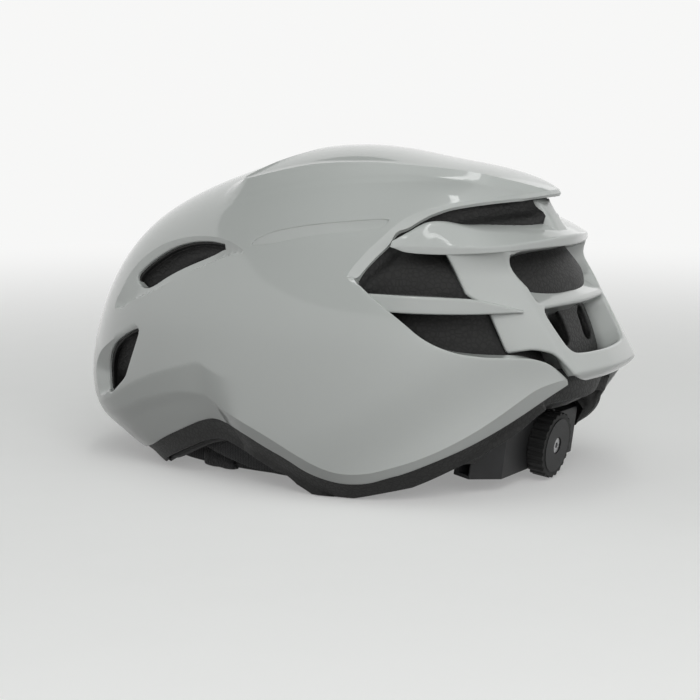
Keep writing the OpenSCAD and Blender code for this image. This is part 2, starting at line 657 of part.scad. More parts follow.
// Sleeve and rubber ring round the chin webbing
module ring_on(route, i, length, wall) {
  a = full(route[i]);
  b = full(route[i + 1]);
  translate((a + b) / 2) rotate([0, 0, atan2(b.y - a.y, b.x - a.x)]) difference() {
    cube([length, web_t + 2 * (wall + gap), web_w + 2 * (wall + gap)], center = true);
    cube([length + 1, web_t + 2 * gap, web_w + 2 * gap], center = true);
  }
}
module chin_pad() color([0.09, 0.09, 0.1]) placed() ring_on(chin_route, 2, 22, 1);
module strap_keeper() color([0.04, 0.04, 0.04]) placed() mirror([1, 0, 0])
  ring_on(chin_route, 2, 6, 1);

// Temple: bush in the foam, pin, and the link that tilts on the pin
module on_hinge(x) translate([x, hinge[0], hinge[1]]) rotate([0, 90, 0]) children();
module temple_socket() on_hinge(pin_x + link_t + side_play) difference() {
  cylinder(r = pin_r + bush_wall, h = socket_len);
  translate([0, 0, -1]) cylinder(r = pin_r + run, h = socket_len);
}
module socket_room() on_hinge(pin_x) cylinder(r = pin_r + bush_wall + gap, h = socket_len + link_t + 1);
module temple_pin() on_hinge(pin_x) {
  translate([0, 0, -side_play]) cylinder(r = pin_r, h = socket_len + link_t - 1.2);
  translate([0, 0, -side_play - pin_head[1]]) cylinder(r = pin_r + pin_head[0], h = pin_head[1]);
}
module temple_link() on_hinge(pin_x) difference() {
  union() {
    cylinder(r = pin_r + bush_wall - 0.1, h = link_t);
    rotate([0, 0, link_fall]) translate([0, -band_h / 2, 0]) cube([link_len, band_h, link_t]);
  }
  translate([0, 0, -1]) cylinder(r = pin_r + run, h = link_t + 2);
}
module temple_socket_left() plug() temple_socket();
module temple_socket_right() plug() mirror([1, 0, 0]) temple_socket();
module temple_pin_left() color([0.2, 0.2, 0.2]) placed() temple_pin();
module temple_pin_right() color([0.2, 0.2, 0.2]) placed() mirror([1, 0, 0]) temple_pin();
module temple_link_left() plug() temple_link();
module temple_link_right() plug() mirror([1, 0, 0]) temple_link();

// Frame of the dial: y along its axis to the rear, z up
module at_dial() placed() translate([0, case_y, dial_z]) rotate([-dial_lean, 0, 0]) children();
function from_dial(p) = [p.x, case_y + p.y * cos(dial_lean) + p.z * sin(dial_lean),
  dial_z - p.y * sin(dial_lean) + p.z * cos(dial_lean)];
module along_dial(y) translate([0, y, 0]) rotate([-90, 0, 0]) children();
band_z = pitch_r + root_depth + rack_back - band_h / 2 - 1;
gear_y = -case_depth / 2;
// Band from the temple link to the end of the rack
module belt(up) {
  tail = hinge + link_len * [sin(link_fall), -cos(link_fall)];
  strip(concat([[pin_x + link_t / 2, tail[0] + band_h / 2 * cos(link_fall) + gap, tail[1]]],
    full_route(beside([[66, -5, 37], [67.5, 20, 31], [66.5, 44, 25], [62, 68, 19.5]])),
    [from_dial([mouth.x + 3, mouth.y - 1.8, up * band_z]), from_dial([mouth.x - 1, mouth.y, up * band_z]),
      from_dial([case_half_len + 1, gear_y - 1, up * band_z]),
      from_dial([rack_outer + 0.2, gear_y, up * band_z])]), band_h, band_t);
}
module belt_left() color([0.08, 0.08, 0.085]) placed() belt(1);
module belt_right() color([0.08, 0.08, 0.085]) placed() mirror([1, 0, 0]) belt(-1);

// Rack: trapezoid teeth along the pitch line, a back and a plate that holds the band
module rack() {
  pitch = PI * tooth;
  tip = (PI / 4) * tooth - tan(slant) * tooth - play / 2;
  root = (PI / 4) * tooth + tan(slant) * root_depth - play / 2;
  translate([0, gear_y + gear_t / 2, 0]) rotate([90, 0, 0]) linear_extrude(gear_t) {
    for (i = [-4:6]) translate([(i + 0.5) * pitch, 0])
      polygon([[-tip, pitch_r - tooth], [tip, pitch_r - tooth], [root, pitch_r + root_depth + 0.01],
        [-root, pitch_r + root_depth + 0.01]]);
    translate([rack_inner, pitch_r + root_depth]) square([rack_outer - rack_inner, rack_back]);
    translate([rack_outer - clamp_len, band_z - band_h / 2]) square([clamp_len, band_h]);
  }
}
module rack_left() color([0.1, 0.1, 0.1]) at_dial() rack();
module rack_right() color([0.1, 0.1, 0.1]) at_dial() rotate([0, 180, 0]) rack();

// Housing: tub that is open to the nape, with a sleeve at each end
module sleeve_plan(inset = 0) polygon([
  [case_half_len - 1, -inset], [case_half_len, -inset], [mouth.x + inset, mouth.y + 4 - inset],
  [mouth.x - 2 + inset, mouth.y - 5 + inset], [case_half_len, -case_depth + inset],
  [case_half_len - 1, -case_depth + inset]]);
module dial_housing() color([0.06, 0.06, 0.065]) at_dial() {
  difference() {
    translate([-case_half_len, -case_depth, -case_half_h])
      cube([2 * case_half_len, case_depth, 2 * case_half_h]);
    translate([-case_half_len - 1, -case_depth - 1, -cavity_half_h])
      cube([2 * case_half_len + 2, case_depth + 1 - case_wall, 2 * cavity_half_h]);
    along_dial(-case_wall - 1) cylinder(r = hub_r + run, h = case_wall + 2);
    // Seat of the click spring
    along_dial(-spring_t) translate([0, -click_r, 0]) cylinder(r = foot_r + 0.2, h = 2);
  }
  mirrored() difference() {
    translate([0, 0, -case_half_h]) linear_extrude(2 * case_half_h) sleeve_plan();
    translate([0, 0, -cavity_half_h]) linear_extrude(2 * cavity_half_h) sleeve_plan(case_wall);
  }
}
module housing_cover() color([0.07, 0.07, 0.075]) at_dial() difference() {
  half_len = case_half_len - 1 - run;
  translate([-half_len, -case_depth, -cavity_half_h + run])
    cube([2 * half_len, case_wall, 2 * (cavity_half_h - run)]);
  along_dial(-case_depth - 1) cylinder(r = screw_r + run, h = case_wall + 2);
}

// Pinion, its hub through the housing, the dial's core, grip and screw
function involute(base, a) = base * [cos(a) + a * PI / 180 * sin(a), sin(a) - a * PI / 180 * cos(a)];
module pinion_outline() {
  base = pitch_r * cos(slant);
  tip_r = pitch_r + tooth;
  at_pitch = tan(slant) * 180 / PI - slant;
  half = 90 / teeth - play / 2 / pitch_r * 180 / PI + at_pitch;
  last = sqrt(pow(tip_r / base, 2) - 1) * 180 / PI;
  flank = [for (i = [0:6]) involute(base, last * i / 6)];
  circle(r = pitch_r - root_depth + 0.2, $fn = 48);
  for (k = [0:teeth - 1]) rotate(k * 360 / teeth + 90) polygon(concat(
    [[pitch_r - 2 * tooth, -0.8]], [for (p = flank) turned(p, -half)],
    [for (p = flip(flank)) turned([p.x, -p.y], half)], [[pitch_r - 2 * tooth, 0.8]]));
}
function turned(p, a) = [p.x * cos(a) - p.y * sin(a), p.x * sin(a) + p.y * cos(a)];
module pinion() color([0.75, 0.75, 0.72]) at_dial() difference() {
  union() {
    along_dial(gear_y - gear_t / 2) linear_extrude(gear_t) pinion_outline();
    along_dial(gear_y + gear_t / 2) cylinder(r = hub_r, h = 1 - gear_y - gear_t / 2);
  }
  along_dial(-case_depth) cylinder(r = screw_r + run, h = case_depth + 2);
}
module dial_core() color([0.09, 0.09, 0.095]) at_dial() difference() {
  along_dial(gap) cylinder(r = dial_r - 3, h = dial_t - gap);
  along_dial(0) cylinder(r = hub_r + run, h = 1.05);
  along_dial(0) cylinder(r = screw_r + run, h = dial_t + 1);
  along_dial(dial_t - screw_head_t - 0.7) cylinder(r = screw_head_r + 0.4, h = 3);
  for (a = [0:click_step:359]) along_dial(0) rotate(a) translate([0, click_r, 0])
    cylinder(r = dent_r, h = 1.2, $fn = 16);
}
module dial_grip() color([0.05, 0.05, 0.05]) at_dial() difference() {
  along_dial(gap) cylinder(r = dial_r, h = dial_t - gap - 0.4);
  along_dial(0) cylinder(r = dial_r - 3 + run, h = dial_t + 1);
  for (a = [0:15:359]) along_dial(-1) rotate(a + 7.5) translate([dial_r + 0.6, 0, 0])
    cylinder(r = 1.5, h = dial_t + 2, $fn = 20);
}
module dial_screw() color([0.5, 0.5, 0.52]) at_dial() {
  along_dial(-case_depth + 0.2) cylinder(r = screw_r, h = case_depth + dial_t - 2.6);
  along_dial(dial_t - screw_head_t - 0.6) difference() {
    cylinder(r = screw_head_r, h = screw_head_t);
    translate([0, 0, 0.8]) cylinder(r = 1.6, h = 2, $fn = 6);
  }
}
module click_spring() color([0.6, 0.6, 0.6]) at_dial() {
  along_dial(0.1 - spring_t) translate([0, -click_r, 0]) cylinder(r = foot_r, h = spring_t);
  along_dial(0.1) translate([0, -click_r, 0]) cylinder(r = bump_r, h = 0.9, $fn = 16);
}

// Height arm: a tongue bent about the temple pins, and its guide in the foam
module arc_wall(r0, r1, half_w, a0, a1) translate([0, hinge[0], hinge[1]]) rotate([90, 0, 90])
  rotate([0, 0, a0]) rotate_extrude(angle = a1 - a0, $fn = 180)
    translate([r0, -half_w]) square([r1 - r0, 2 * half_w]);
module height_arm() color([0.07, 0.07, 0.075]) {
  placed() arc_wall(arm_in, arm_in + arm_t, arm_w / 2, -arm_low, arm_high);
  at_dial() translate([-arm_w / 2 - 1, -8, case_half_h + 0.05]) cube([arm_w + 2, 8, 2.4]);
}
module height_guide() color([0.1, 0.1, 0.1]) placed() {
  back = arm_in + arm_t + gap;
  arc_wall(back, back + 1.8, arm_w / 2 + 3, guide_low, guide_high);
  for (s = [-1, 1]) translate([s * (arm_w / 2 + gap + 1.3), 0, 0])
    arc_wall(arm_in - 0.4, back + 1, 1.3, guide_low, guide_high);
  guide_stem();
}
module guide_stem(room = 0) translate([-8 - room, (hinge[0] + arm_in + arm_t + gap + 0.8),
  hinge[1] + 12 - room]) cube([16 + 2 * room, 12 + room, 16 + 2 * room]);
module guide_room() guide_stem(gap);

// Pads on the nape side of the housing
module nape_pad() at_dial() translate([nape_pad_x, -case_depth - gap, 0])
  nape_cushion(nape_pad_size.x, nape_pad_size.y);
module nape_cushion(length, height) {
  n = 8;
  pull = 0.1;
  function spot(u, v, d) = [length / 2 * (1 + u * (1 - pull * (1 - v * v))), -d,
    height / 2 * v * (1 - pull * (1 - u * u))];
  function grid(top) = [for (i = [0:n], j = [0:n]) let (u = 2 * i / n - 1, v = 2 * j / n - 1)
    spot(u, v, top ? cushion_t(u, v, nape_pad_t) : 0)];
  quilt(grid(true), grid(false), n, n);
}
module nape_pad_left() color([0.1, 0.1, 0.11]) nape_pad();
module nape_pad_right() color([0.1, 0.1, 0.11]) mirror([1, 0, 0]) nape_pad();

outer_shell();
rear_shell();
eps_liner();
brow_pad();
crown_pad_left();
crown_pad_right();
crown_pad_centre();
side_pad_left();
side_pad_right();
nape_pad_left();
nape_pad_right();
front_anchor_left();
front_anchor_right();
rear_anchor_left();
rear_anchor_right();
front_strap_left();
front_strap_right();
rear_strap_left();
rear_strap_right();
chin_strap_left();
chin_strap_right();
strap_divider_left();
strap_divider_right();
buckle_socket();
buckle_prong();
chin_pad();
strap_keeper();
temple_socket_left();
temple_socket_right();
temple_pin_left();
temple_pin_right();
temple_link_left();
temple_link_right();
belt_left();
belt_right();
rack_left();
rack_right();
dial_housing();
housing_cover();
height_arm();
height_guide();
pinion();
dial_core();
dial_grip();
dial_screw();
click_spring();
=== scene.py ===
"""Looks of an aero road bicycle helmet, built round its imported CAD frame.

Lengths inside the classes are millimetres in the drawing's frame of the part's source: X to the
wearer's left, Y to the rear, Z up. They are turned into the row's metres where a mesh is made.
"""

from __future__ import annotations

import json
import logging
import math
from dataclasses import dataclass, field
from enum import Enum
from typing import Callable, Sequence

import bpy
import mathutils
import numpy as np
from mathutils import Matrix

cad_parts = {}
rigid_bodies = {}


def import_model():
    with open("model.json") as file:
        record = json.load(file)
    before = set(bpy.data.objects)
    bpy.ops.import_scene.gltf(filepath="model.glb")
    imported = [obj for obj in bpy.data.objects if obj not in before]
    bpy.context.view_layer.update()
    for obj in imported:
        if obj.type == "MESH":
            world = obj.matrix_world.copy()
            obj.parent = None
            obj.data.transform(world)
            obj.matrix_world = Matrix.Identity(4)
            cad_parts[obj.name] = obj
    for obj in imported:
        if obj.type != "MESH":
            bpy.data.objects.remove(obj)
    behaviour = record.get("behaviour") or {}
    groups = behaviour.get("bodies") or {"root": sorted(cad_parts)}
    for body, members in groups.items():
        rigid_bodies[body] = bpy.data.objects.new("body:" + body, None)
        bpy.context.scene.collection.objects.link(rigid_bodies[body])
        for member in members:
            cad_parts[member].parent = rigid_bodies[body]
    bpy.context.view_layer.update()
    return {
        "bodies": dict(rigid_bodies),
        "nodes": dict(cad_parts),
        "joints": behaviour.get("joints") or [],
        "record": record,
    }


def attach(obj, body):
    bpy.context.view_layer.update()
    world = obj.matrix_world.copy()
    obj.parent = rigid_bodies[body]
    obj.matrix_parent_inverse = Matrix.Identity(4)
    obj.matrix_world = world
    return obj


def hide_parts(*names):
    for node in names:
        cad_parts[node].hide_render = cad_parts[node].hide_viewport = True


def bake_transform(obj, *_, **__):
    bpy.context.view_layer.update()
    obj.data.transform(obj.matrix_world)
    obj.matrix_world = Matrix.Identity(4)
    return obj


Array = np.ndarray
Place = Callable[[Array, Array], Array]
Field = Callable[[Array, Array], Array]
Outline = Sequence[tuple[float, float]]
Route = Sequence[Sequence[float]]

MM = 0.001
MIDDLE_Y = 2.8  # how far the drawing's middle stands before the row's, in mm
OUTSIDE = -99.0  # a signed distance that never wins
SIGHT = (0.857, 0.495, 0.139)  # from the helmet to the photograph's camera
CAMERA_OFF = 1000  # the camera's distance from the helmet's middle, in mm
SIGHT_MIDDLE = (-5.1, 54.5)  # y and z of the point that the camera aims at
FACET_SLOPE = 0.6  # how far a facet falls over its width
ARC = 2.4  # length of a degree round the head, in mm
LOG = logging.getLogger("helmet")


# Curves and distances

def catmull(values: Sequence[float], s: Array) -> Array:
    """Smooth curve through evenly spaced values.

    Args:
        values: the values, one unit apart.
        s: where to read the curve, in those units.

    Returns:
        The Catmull-Rom cubic between the two nearest values, with its ends mirrored.
    """
    v = np.asarray(values, float)
    v = np.concatenate([[2 * v[0] - v[1]], v, [2 * v[-1] - v[-2]]])
    i = np.clip(np.floor(s).astype(int), 0, len(values) - 2)
    t = s - i
    p0, p1, p2, p3 = v[i], v[i + 1], v[i + 2], v[i + 3]
    return p1 + t * (p2 - p0 + t * (2 * p0 - 5 * p1 + 4 * p2 - p3 + t * (3 * (p1 - p2) + p3 - p0))) / 2


def eased(values: Sequence[float], step: float, blur: float) -> Array:
    """Table of a Catmull-Rom curve every quarter degree, blurred so that gloss shows no knots.

    Args:
        values: the values, step degrees apart from 0 to 180.
        step: degrees between two values.
        blur: standard deviation of the blur, in degrees.

    Returns:
        721 values, the curve times a Gauss bell.
    """
    fine = catmull(values, np.linspace(0, 180, 721) / step)
    reach = int(blur * 12)
    bell = np.exp(-0.5 * (np.arange(-reach, reach + 1) / 4 / blur) ** 2)
    padded = np.concatenate([2 * fine[0] - fine[reach:0:-1], fine, 2 * fine[-1] - fine[-2:-reach - 2:-1]])
    return np.convolve(padded, bell / bell.sum(), mode="valid")


def curve(points: Array, count: int) -> Array:
    """Catmull-Rom curve through the rows of a table, read at evenly spaced places."""
    s = np.linspace(0, len(points) - 1, count)
    return np.stack([catmull(points[:, k], s) for k in range(points.shape[1])], axis=-1)


def lengths(line: Array) -> Array:
    """Length along a line at each of its points."""
    return np.concatenate([[0], np.cumsum(np.linalg.norm(np.diff(line, axis=0), axis=1))])


def circle(count: int) -> Array:
    """Evenly spaced angles round a full turn, in radians."""
    return np.linspace(0, 2 * math.pi, count + 1)[:-1]


def signed_power(value: Array, power: float) -> Array:
    """Power of the value's size, with the value's sign."""
    return np.sign(value) * np.abs(value) ** power


def softened(points: Outline, closed: bool = True, rounds: int = 3) -> Array:
    """Outline with rounded corners: each round cuts every corner at a quarter of its sides.

    Args:
        points: the corners.
        closed: whether the last corner joins the first.
        rounds: how many times the corners are cut.

    Returns:
        Points of a quadratic B-spline.
    """
    p = np.asarray(points, float)
    for _ in range(rounds):
        q = np.roll(p, -1, axis=0)
        cut = np.stack([0.75 * p + 0.25 * q, 0.25 * p + 0.75 * q], axis=1)
        if closed:
            p = cut.reshape(-1, p.shape[1])
        else:
            p = np.concatenate([p[:1], cut[:-1].reshape(-1, p.shape[1]), p[-1:]])
    return p


def distance(x: Array, y: Array, line: Array, closed: bool = True) -> Array:
    """Least distance from points to an outline: to each side, the nearest point of that side.

    Args:
        x: first coordinate of the points, any shape.
        y: second coordinate.
        line: corners of the outline.
        closed: whether the last corner joins the first.

    Returns:
        Distances, shaped as x.
    """
    best = np.full(x.shape, np.inf)
    ends = np.roll(line, -1, axis=0)
    for a, b in zip(line if closed else line[:-1], ends if closed else ends[:-1]):
        d = b - a
        t = np.clip(((x - a[0]) * d[0] + (y - a[1]) * d[1]) / max(float(d @ d), 1e-9), 0, 1)
        best = np.minimum(best, (x - a[0] - t * d[0]) ** 2 + (y - a[1] - t * d[1]) ** 2)
    return np.sqrt(best)


def inside(x: Array, y: Array, line: Array) -> Array:
    """Signed distance to a closed outline, which a ray from a point inside crosses an odd number of times.

    Args:
        x: first coordinate of the points, any shape.
        y: second coordinate.
        line: corners of the outline.

    Returns:
        Distances, positive inside.
    """
    odd = np.zeros(x.shape, bool)
    for a, b in zip(line, np.roll(line, -1, axis=0)):
        spans = (a[1] > y) != (b[1] > y)
        at = a[0] + (y - a[1]) * (b[0] - a[0]) / (b[1] - a[1] if b[1] != a[1] else 1e-9)
        odd ^= spans & (x < at)
    return np.where(odd, 1.0, -1.0) * distance(x, y, line)


def ramp(x: Array, low: float, high: float) -> Array:
    """0 up to low, 1 from high, and a straight line between them."""
    return np.clip((x - low) / (high - low), 0, 1)


def smooth(x: Array, low: float, high: float) -> Array:
    """0 up to low, 1 from high, and a cubic that starts and ends level between them."""
    t = ramp(x, low, high)
    return t * t * (3 - 2 * t)


def unit(v: Array) -> Array:
    """Vectors scaled to length 1."""
    return v / np.maximum(np.linalg.norm(v, axis=-1, keepdims=True), 1e-12)


# Meshes

@dataclass
class Skin:
    """Points with quads and triangles, in the drawing's millimetres."""

    points: Array
    quads: Array
    tris: Array

    def normals(self) -> Array:
        """Unit normals: the sums of the cross products of the faces' diagonals or sides.

        Returns:
            One normal for each point.
        """
        n = np.zeros_like(self.points)
        q, t, p = self.quads, self.tris, self.points
        for faces, a, b in ((q, p[q[:, 2]] - p[q[:, 0]], p[q[:, 3]] - p[q[:, 1]]),
                            (t, p[t[:, 1]] - p[t[:, 0]], p[t[:, 2]] - p[t[:, 0]])):
            face = np.cross(a, b)
            for k in range(faces.shape[1]):
                np.add.at(n, faces[:, k], face)
        return unit(n)

    def border(self) -> tuple[Array, Array]:
        """Sides that only one face has.

        Returns:
            Their starts and their ends, in that face's direction.
        """
        q, t = self.quads, self.tris
        starts = np.concatenate([q.ravel("F"), t.ravel("F")])
        ends = np.concatenate([np.roll(q, -1, axis=1).ravel("F"), np.roll(t, -1, axis=1).ravel("F")])
        n = len(self.points)
        alone = ~np.isin(starts * n + ends, ends * n + starts)
        return starts[alone], ends[alone]

    def flipped(self) -> Skin:
        """The same surface facing the other way."""
        return Skin(self.points, self.quads[:, ::-1], self.tris[:, ::-1])

    def moved(self, points: Array) -> Skin:
        """The same faces on other points."""
        return Skin(points, self.quads, self.tris)


def mirrored(skin: Skin) -> Skin:
    """The skin on the wearer's other side."""
    return skin.moved(skin.points * [-1, 1, 1]).flipped()


def loft(rings: Array, closed_path: bool = False, capped: bool = True) -> Skin:
    """Closed profiles joined along a path.

    Args:
        rings: array of profiles, path by profile by 3. Seen along the path, a profile runs clockwise.
        closed_path: whether the last profile joins the first.
        capped: whether a fan closes each end.

    Returns:
        A skin whose quads join point k of a profile with point k of the next one.
    """
    m, k = rings.shape[:2]
    i, j = np.meshgrid(np.arange(m if closed_path else m - 1), np.arange(k), indexing="ij")
    a, b = i * k + j, i * k + (j + 1) % k
    c, d = (i + 1) % m * k + (j + 1) % k, (i + 1) % m * k + j
    quads = np.stack([a, b, c, d], axis=-1).reshape(-1, 4)
    points = rings.reshape(-1, 3)
    tris = np.zeros((0, 3), int)
    if capped and not closed_path:
        centres = np.stack([rings[0].mean(axis=0), rings[-1].mean(axis=0)])
        n, s = len(points), np.arange(k)
        last = (m - 1) * k
        tris = np.concatenate([np.stack([np.full(k, n), (s + 1) % k, s], axis=1),
                               np.stack([np.full(k, n + 1), last + s, last + (s + 1) % k], axis=1)])
        points = np.concatenate([points, centres])
    return Skin(points, quads, tris)


def outward(skin: Skin) -> Skin:
    """Turns a closed skin outward, which it isn't where its signed volume is negative.

    Args:
        skin: the closed skin.

    Returns:
        The same skin, or the flipped one.
    """
    p = skin.points
    faces = np.concatenate([skin.quads[:, [0, 1, 2]], skin.quads[:, [0, 2, 3]], skin.tris])
    volume = (p[faces[:, 0]] * np.cross(p[faces[:, 1]], p[faces[:, 2]])).sum()
    return skin if volume > 0 else skin.flipped()


def bisect(level: Field, u: Array, v: Array, u2: Array, v2: Array, sign: Array) -> Array:
    """Finds where level crosses zero between pairs of points, by halving the way eight times.

    Args:
        level: function of the two parameters.
        u: first parameter of the starts.
        v: second parameter of the starts.
        u2: first parameter of the ends.
        v2: second parameter of the ends.
        sign: sign of the level at the starts.

    Returns:
        Shares of the way from start to end.
    """
    low, high = np.zeros(u.shape), np.ones(u.shape)
    for _ in range(8):
        t = (low + high) / 2
        same = level(u + t * (u2 - u), v + t * (v2 - v)) * sign > 0
        low, high = np.where(same, t, low), np.where(same, high, t)
    return (low + high) / 2


def snapped(level: Field, u: Array, v: Array, free: Array) -> tuple[Array, Array, Array, Array]:
    """Grid points moved along their grid lines onto the line where level is zero.

    Args:
        level: function of the two parameters.
        u: first parameter of the grid's points.
        v: second parameter.
        free: which points may move.

    Returns:
        The new parameters, which points lie on the line, and the level with zero there.
    """
    values = level(u, v)
    best = np.full(u.shape, 0.5001)
    nu, nv = u.copy(), v.copy()
    for axis, step in ((0, 1), (0, -1), (1, 1), (1, -1)):
        u2, v2, other = (np.roll(a, -step, axis=axis) for a in (u, v, values))
        crosses = (values * other < 0) & free
        edge = [slice(None), slice(None)]
        edge[axis] = -1 if step == 1 else 0
        crosses[tuple(edge)] = False
        at = np.nonzero(crosses)
        t = bisect(level, u[at], v[at], u2[at], v2[at], np.sign(values[at]))
        better = t < best[at]
        at = tuple(a[better] for a in at)
        best[at] = t[better]
        nu[at] = u[at] + t[better] * (u2[at] - u[at])
        nv[at] = v[at] + t[better] * (v2[at] - v[at])
    hit = best < 0.5001
    return nu, nv, hit, np.where(hit, 0.0, level(nu, nv))


def trimmed(place: Place, keep: Field, creases: Sequence[Field], us: Array, vs: Array,
            fold: bool = False) -> tuple[Skin, Array, Array]:
    """Surface over a grid of two parameters, trimmed where keep is negative.

    Points near the trim line and near each crease line move onto it along the grid, cells with a
    corner outside are cut along their diagonal, and cells that a crease crosses are split along it.

    Args:
        place: point of the surface at two parameters.
        keep: signed clearance from the trim line.
        creases: levels whose zero lines are to be edges of the mesh.
        us: first parameter of the columns.
        vs: second parameter of the rows.
        fold: whether the faces are turned round.

    Returns:
        The skin and the two parameters of its points.
    """
    u, v = np.meshgrid(us, vs)
    u, v, on_trim, kept = snapped(keep, u, v, np.ones(u.shape, bool))
    free = ~on_trim
    lines = [(on_trim, kept)]
    for crease in creases:
        nu, nv, hit, level = snapped(crease, u, v, free)
        now = keep(nu, nv)
        hit &= now * kept > 0
        u, v = np.where(hit, nu, u), np.where(hit, nv, v)
        kept = np.where(on_trim, 0.0, np.where(hit, now, kept))
        free &= ~hit
        lines.append((hit, np.where(hit, 0.0, crease(u, v))))
    n, m = u.shape
    index = np.arange(n * m).reshape(n, m)
    corner = [index[:-1, :-1], index[:-1, 1:], index[1:, 1:], index[1:, :-1]]
    cells = np.stack([c.ravel() for c in corner], axis=1)
    k = kept.ravel()[cells]
    outside = k < 0
    middle_u, middle_v = u.ravel()[cells].mean(axis=1), v.ravel()[cells].mean(axis=1)
    whole = ~outside.any(axis=1)
    flat = whole & (k == 0).all(axis=1)
    whole[flat] = keep(middle_u[flat], middle_v[flat]) > 0
    split = np.full(len(cells), -1)
    for hit, level in lines[1:]:
        h, w = hit.ravel()[cells], level.ravel()[cells]
        split[h[:, 0] & h[:, 2] & (w[:, 1] * w[:, 3] < 0)] = 0
        split[h[:, 1] & h[:, 3] & (w[:, 0] * w[:, 2] < 0)] = 1
    quads = cells[whole & (split < 0)]
    tris = [cells[whole & (split == 0)][:, [0, 1, 2]], cells[whole & (split == 0)][:, [0, 2, 3]],
            cells[whole & (split == 1)][:, [1, 2, 3]], cells[whole & (split == 1)][:, [1, 3, 0]]]
    one = outside.sum(axis=1) == 1
    for c in range(4):
        three = [(c + 1) % 4, (c + 2) % 4, (c + 3) % 4]
        pick = one & outside[:, c]
        part = cells[pick][:, three]
        alive = keep(u.ravel()[part].mean(axis=1), v.ravel()[part].mean(axis=1)) > 0
        tris.append(part[alive])
    tris = np.concatenate(tris)
    used = np.unique(np.concatenate([quads.ravel(), tris.ravel()]))
    new = np.full(n * m, -1)
    new[used] = np.arange(len(used))
    pu, pv = u.ravel()[used], v.ravel()[used]
    skin = Skin(place(pu, pv), new[quads], new[tris])
    return (skin.flipped() if fold else skin), pu, pv


@dataclass(frozen=True)
class Edge:
    """Turned-in edge of a sheet, one value for each point of the sheet's border.

    radius rounds the edge, depth is how far the wall goes in, back is how far it returns under the sheet,
    and facet is the width of a flat that leans in before the wall.
    """

    radius: Array
    depth: Array
    back: Array
    facet: Array | float = 0.0


def along_border(values: Array, nxt: Array, prev: Array, rounds: int) -> Array:
    """Values on a border, averaged with their neighbours.

    Args:
        values: one value or vector for each point of the border.
        nxt: index of each point's next one.
        prev: index of each point's previous one.
        rounds: how many times they are averaged.

    Returns:
        The averaged values.
    """
    for _ in range(rounds):
        values = 0.5 * values + 0.25 * (values[nxt] + values[prev])
    return values


def even_edge(radius: float, depth: float) -> Callable[[Array], Edge]:
    """Edge of the same rounding and wall depth all round, whose wall doesn't return."""
    return lambda p: Edge(np.full(len(p), radius), np.full(len(p), depth), np.zeros(len(p)))


def walled(sheet: Skin, under: Array, edge_of: Callable[[Array], Edge], steps: int = 4) -> Skin:
    """Closed solid from a sheet: its edges are rounded, turned in as walls and joined to an underside.

    From a border point P with the normal N and the direction M out of the sheet, the rows of the wall
    are P + M r sin(t) - N r (1 - cos(t)) for t up to the wall's lean, then the facet and then -N.

    Args:
        sheet: the outer surface.
        under: the underside's points, one for each point of the sheet.
        edge_of: gives the edge's sizes at the border points.
        steps: rows of the rounding.

    Returns:
        The closed skin.
    """
    starts, ends = sheet.border()
    rim = np.unique(starts)
    local = np.full(len(sheet.points), -1)
    local[rim] = np.arange(len(rim))
    a, b = local[starts], local[ends]
    nxt, prev = np.arange(len(rim)), np.arange(len(rim))
    nxt[a], prev[b] = b, a
    p = sheet.points[rim]
    normal = unit(along_border(sheet.normals()[rim], nxt, prev, 3))
    run = along_border(p[nxt] - p[prev], nxt, prev, 2)
    out = unit(along_border(unit(np.cross(run, normal)), nxt, prev, 3))
    edge = edge_of(p)
    radius, depth, back, facet = (along_border(x + 0 * edge.radius, nxt, prev, 6)[:, None]
                                  for x in (edge.radius, edge.depth, edge.back, edge.facet))
    lean = np.where(facet > 0.05, math.atan(FACET_SLOPE), math.pi / 2)
    lean = along_border(lean, nxt, prev, 4)
    rows = []
    for k in range(1, steps + 1):
        turn = lean * k / steps
        rows.append(p + out * radius * np.sin(turn) - normal * radius * (1 - np.cos(turn)))
    corner = rows[-1] + out * facet - normal * (FACET_SLOPE * facet + 0.1)
    rows.append(corner)
    rows.append(corner - normal * depth / 2)
    rows.append(corner - normal * depth)
    rows.append(corner - out * back - normal * depth)
    n, count = len(sheet.points), len(rim)
    bases = [n + k * count for k in range(len(rows))]
    under_base = n + len(rows) * count
    ladder = [(starts, ends)] + [(base + a, base + b) for base in bases]
    ladder.append((under_base + starts, under_base + ends))
    walls = [np.stack([s0, s1, e1, e0], axis=1) for (s0, e0), (s1, e1) in zip(ladder, ladder[1:])]
    below = sheet.flipped()
    return Skin(np.concatenate([sheet.points, *rows, under]),
                np.concatenate([sheet.quads, *walls, below.quads + under_base]),
                np.concatenate([sheet.tris, below.tris + under_base]))


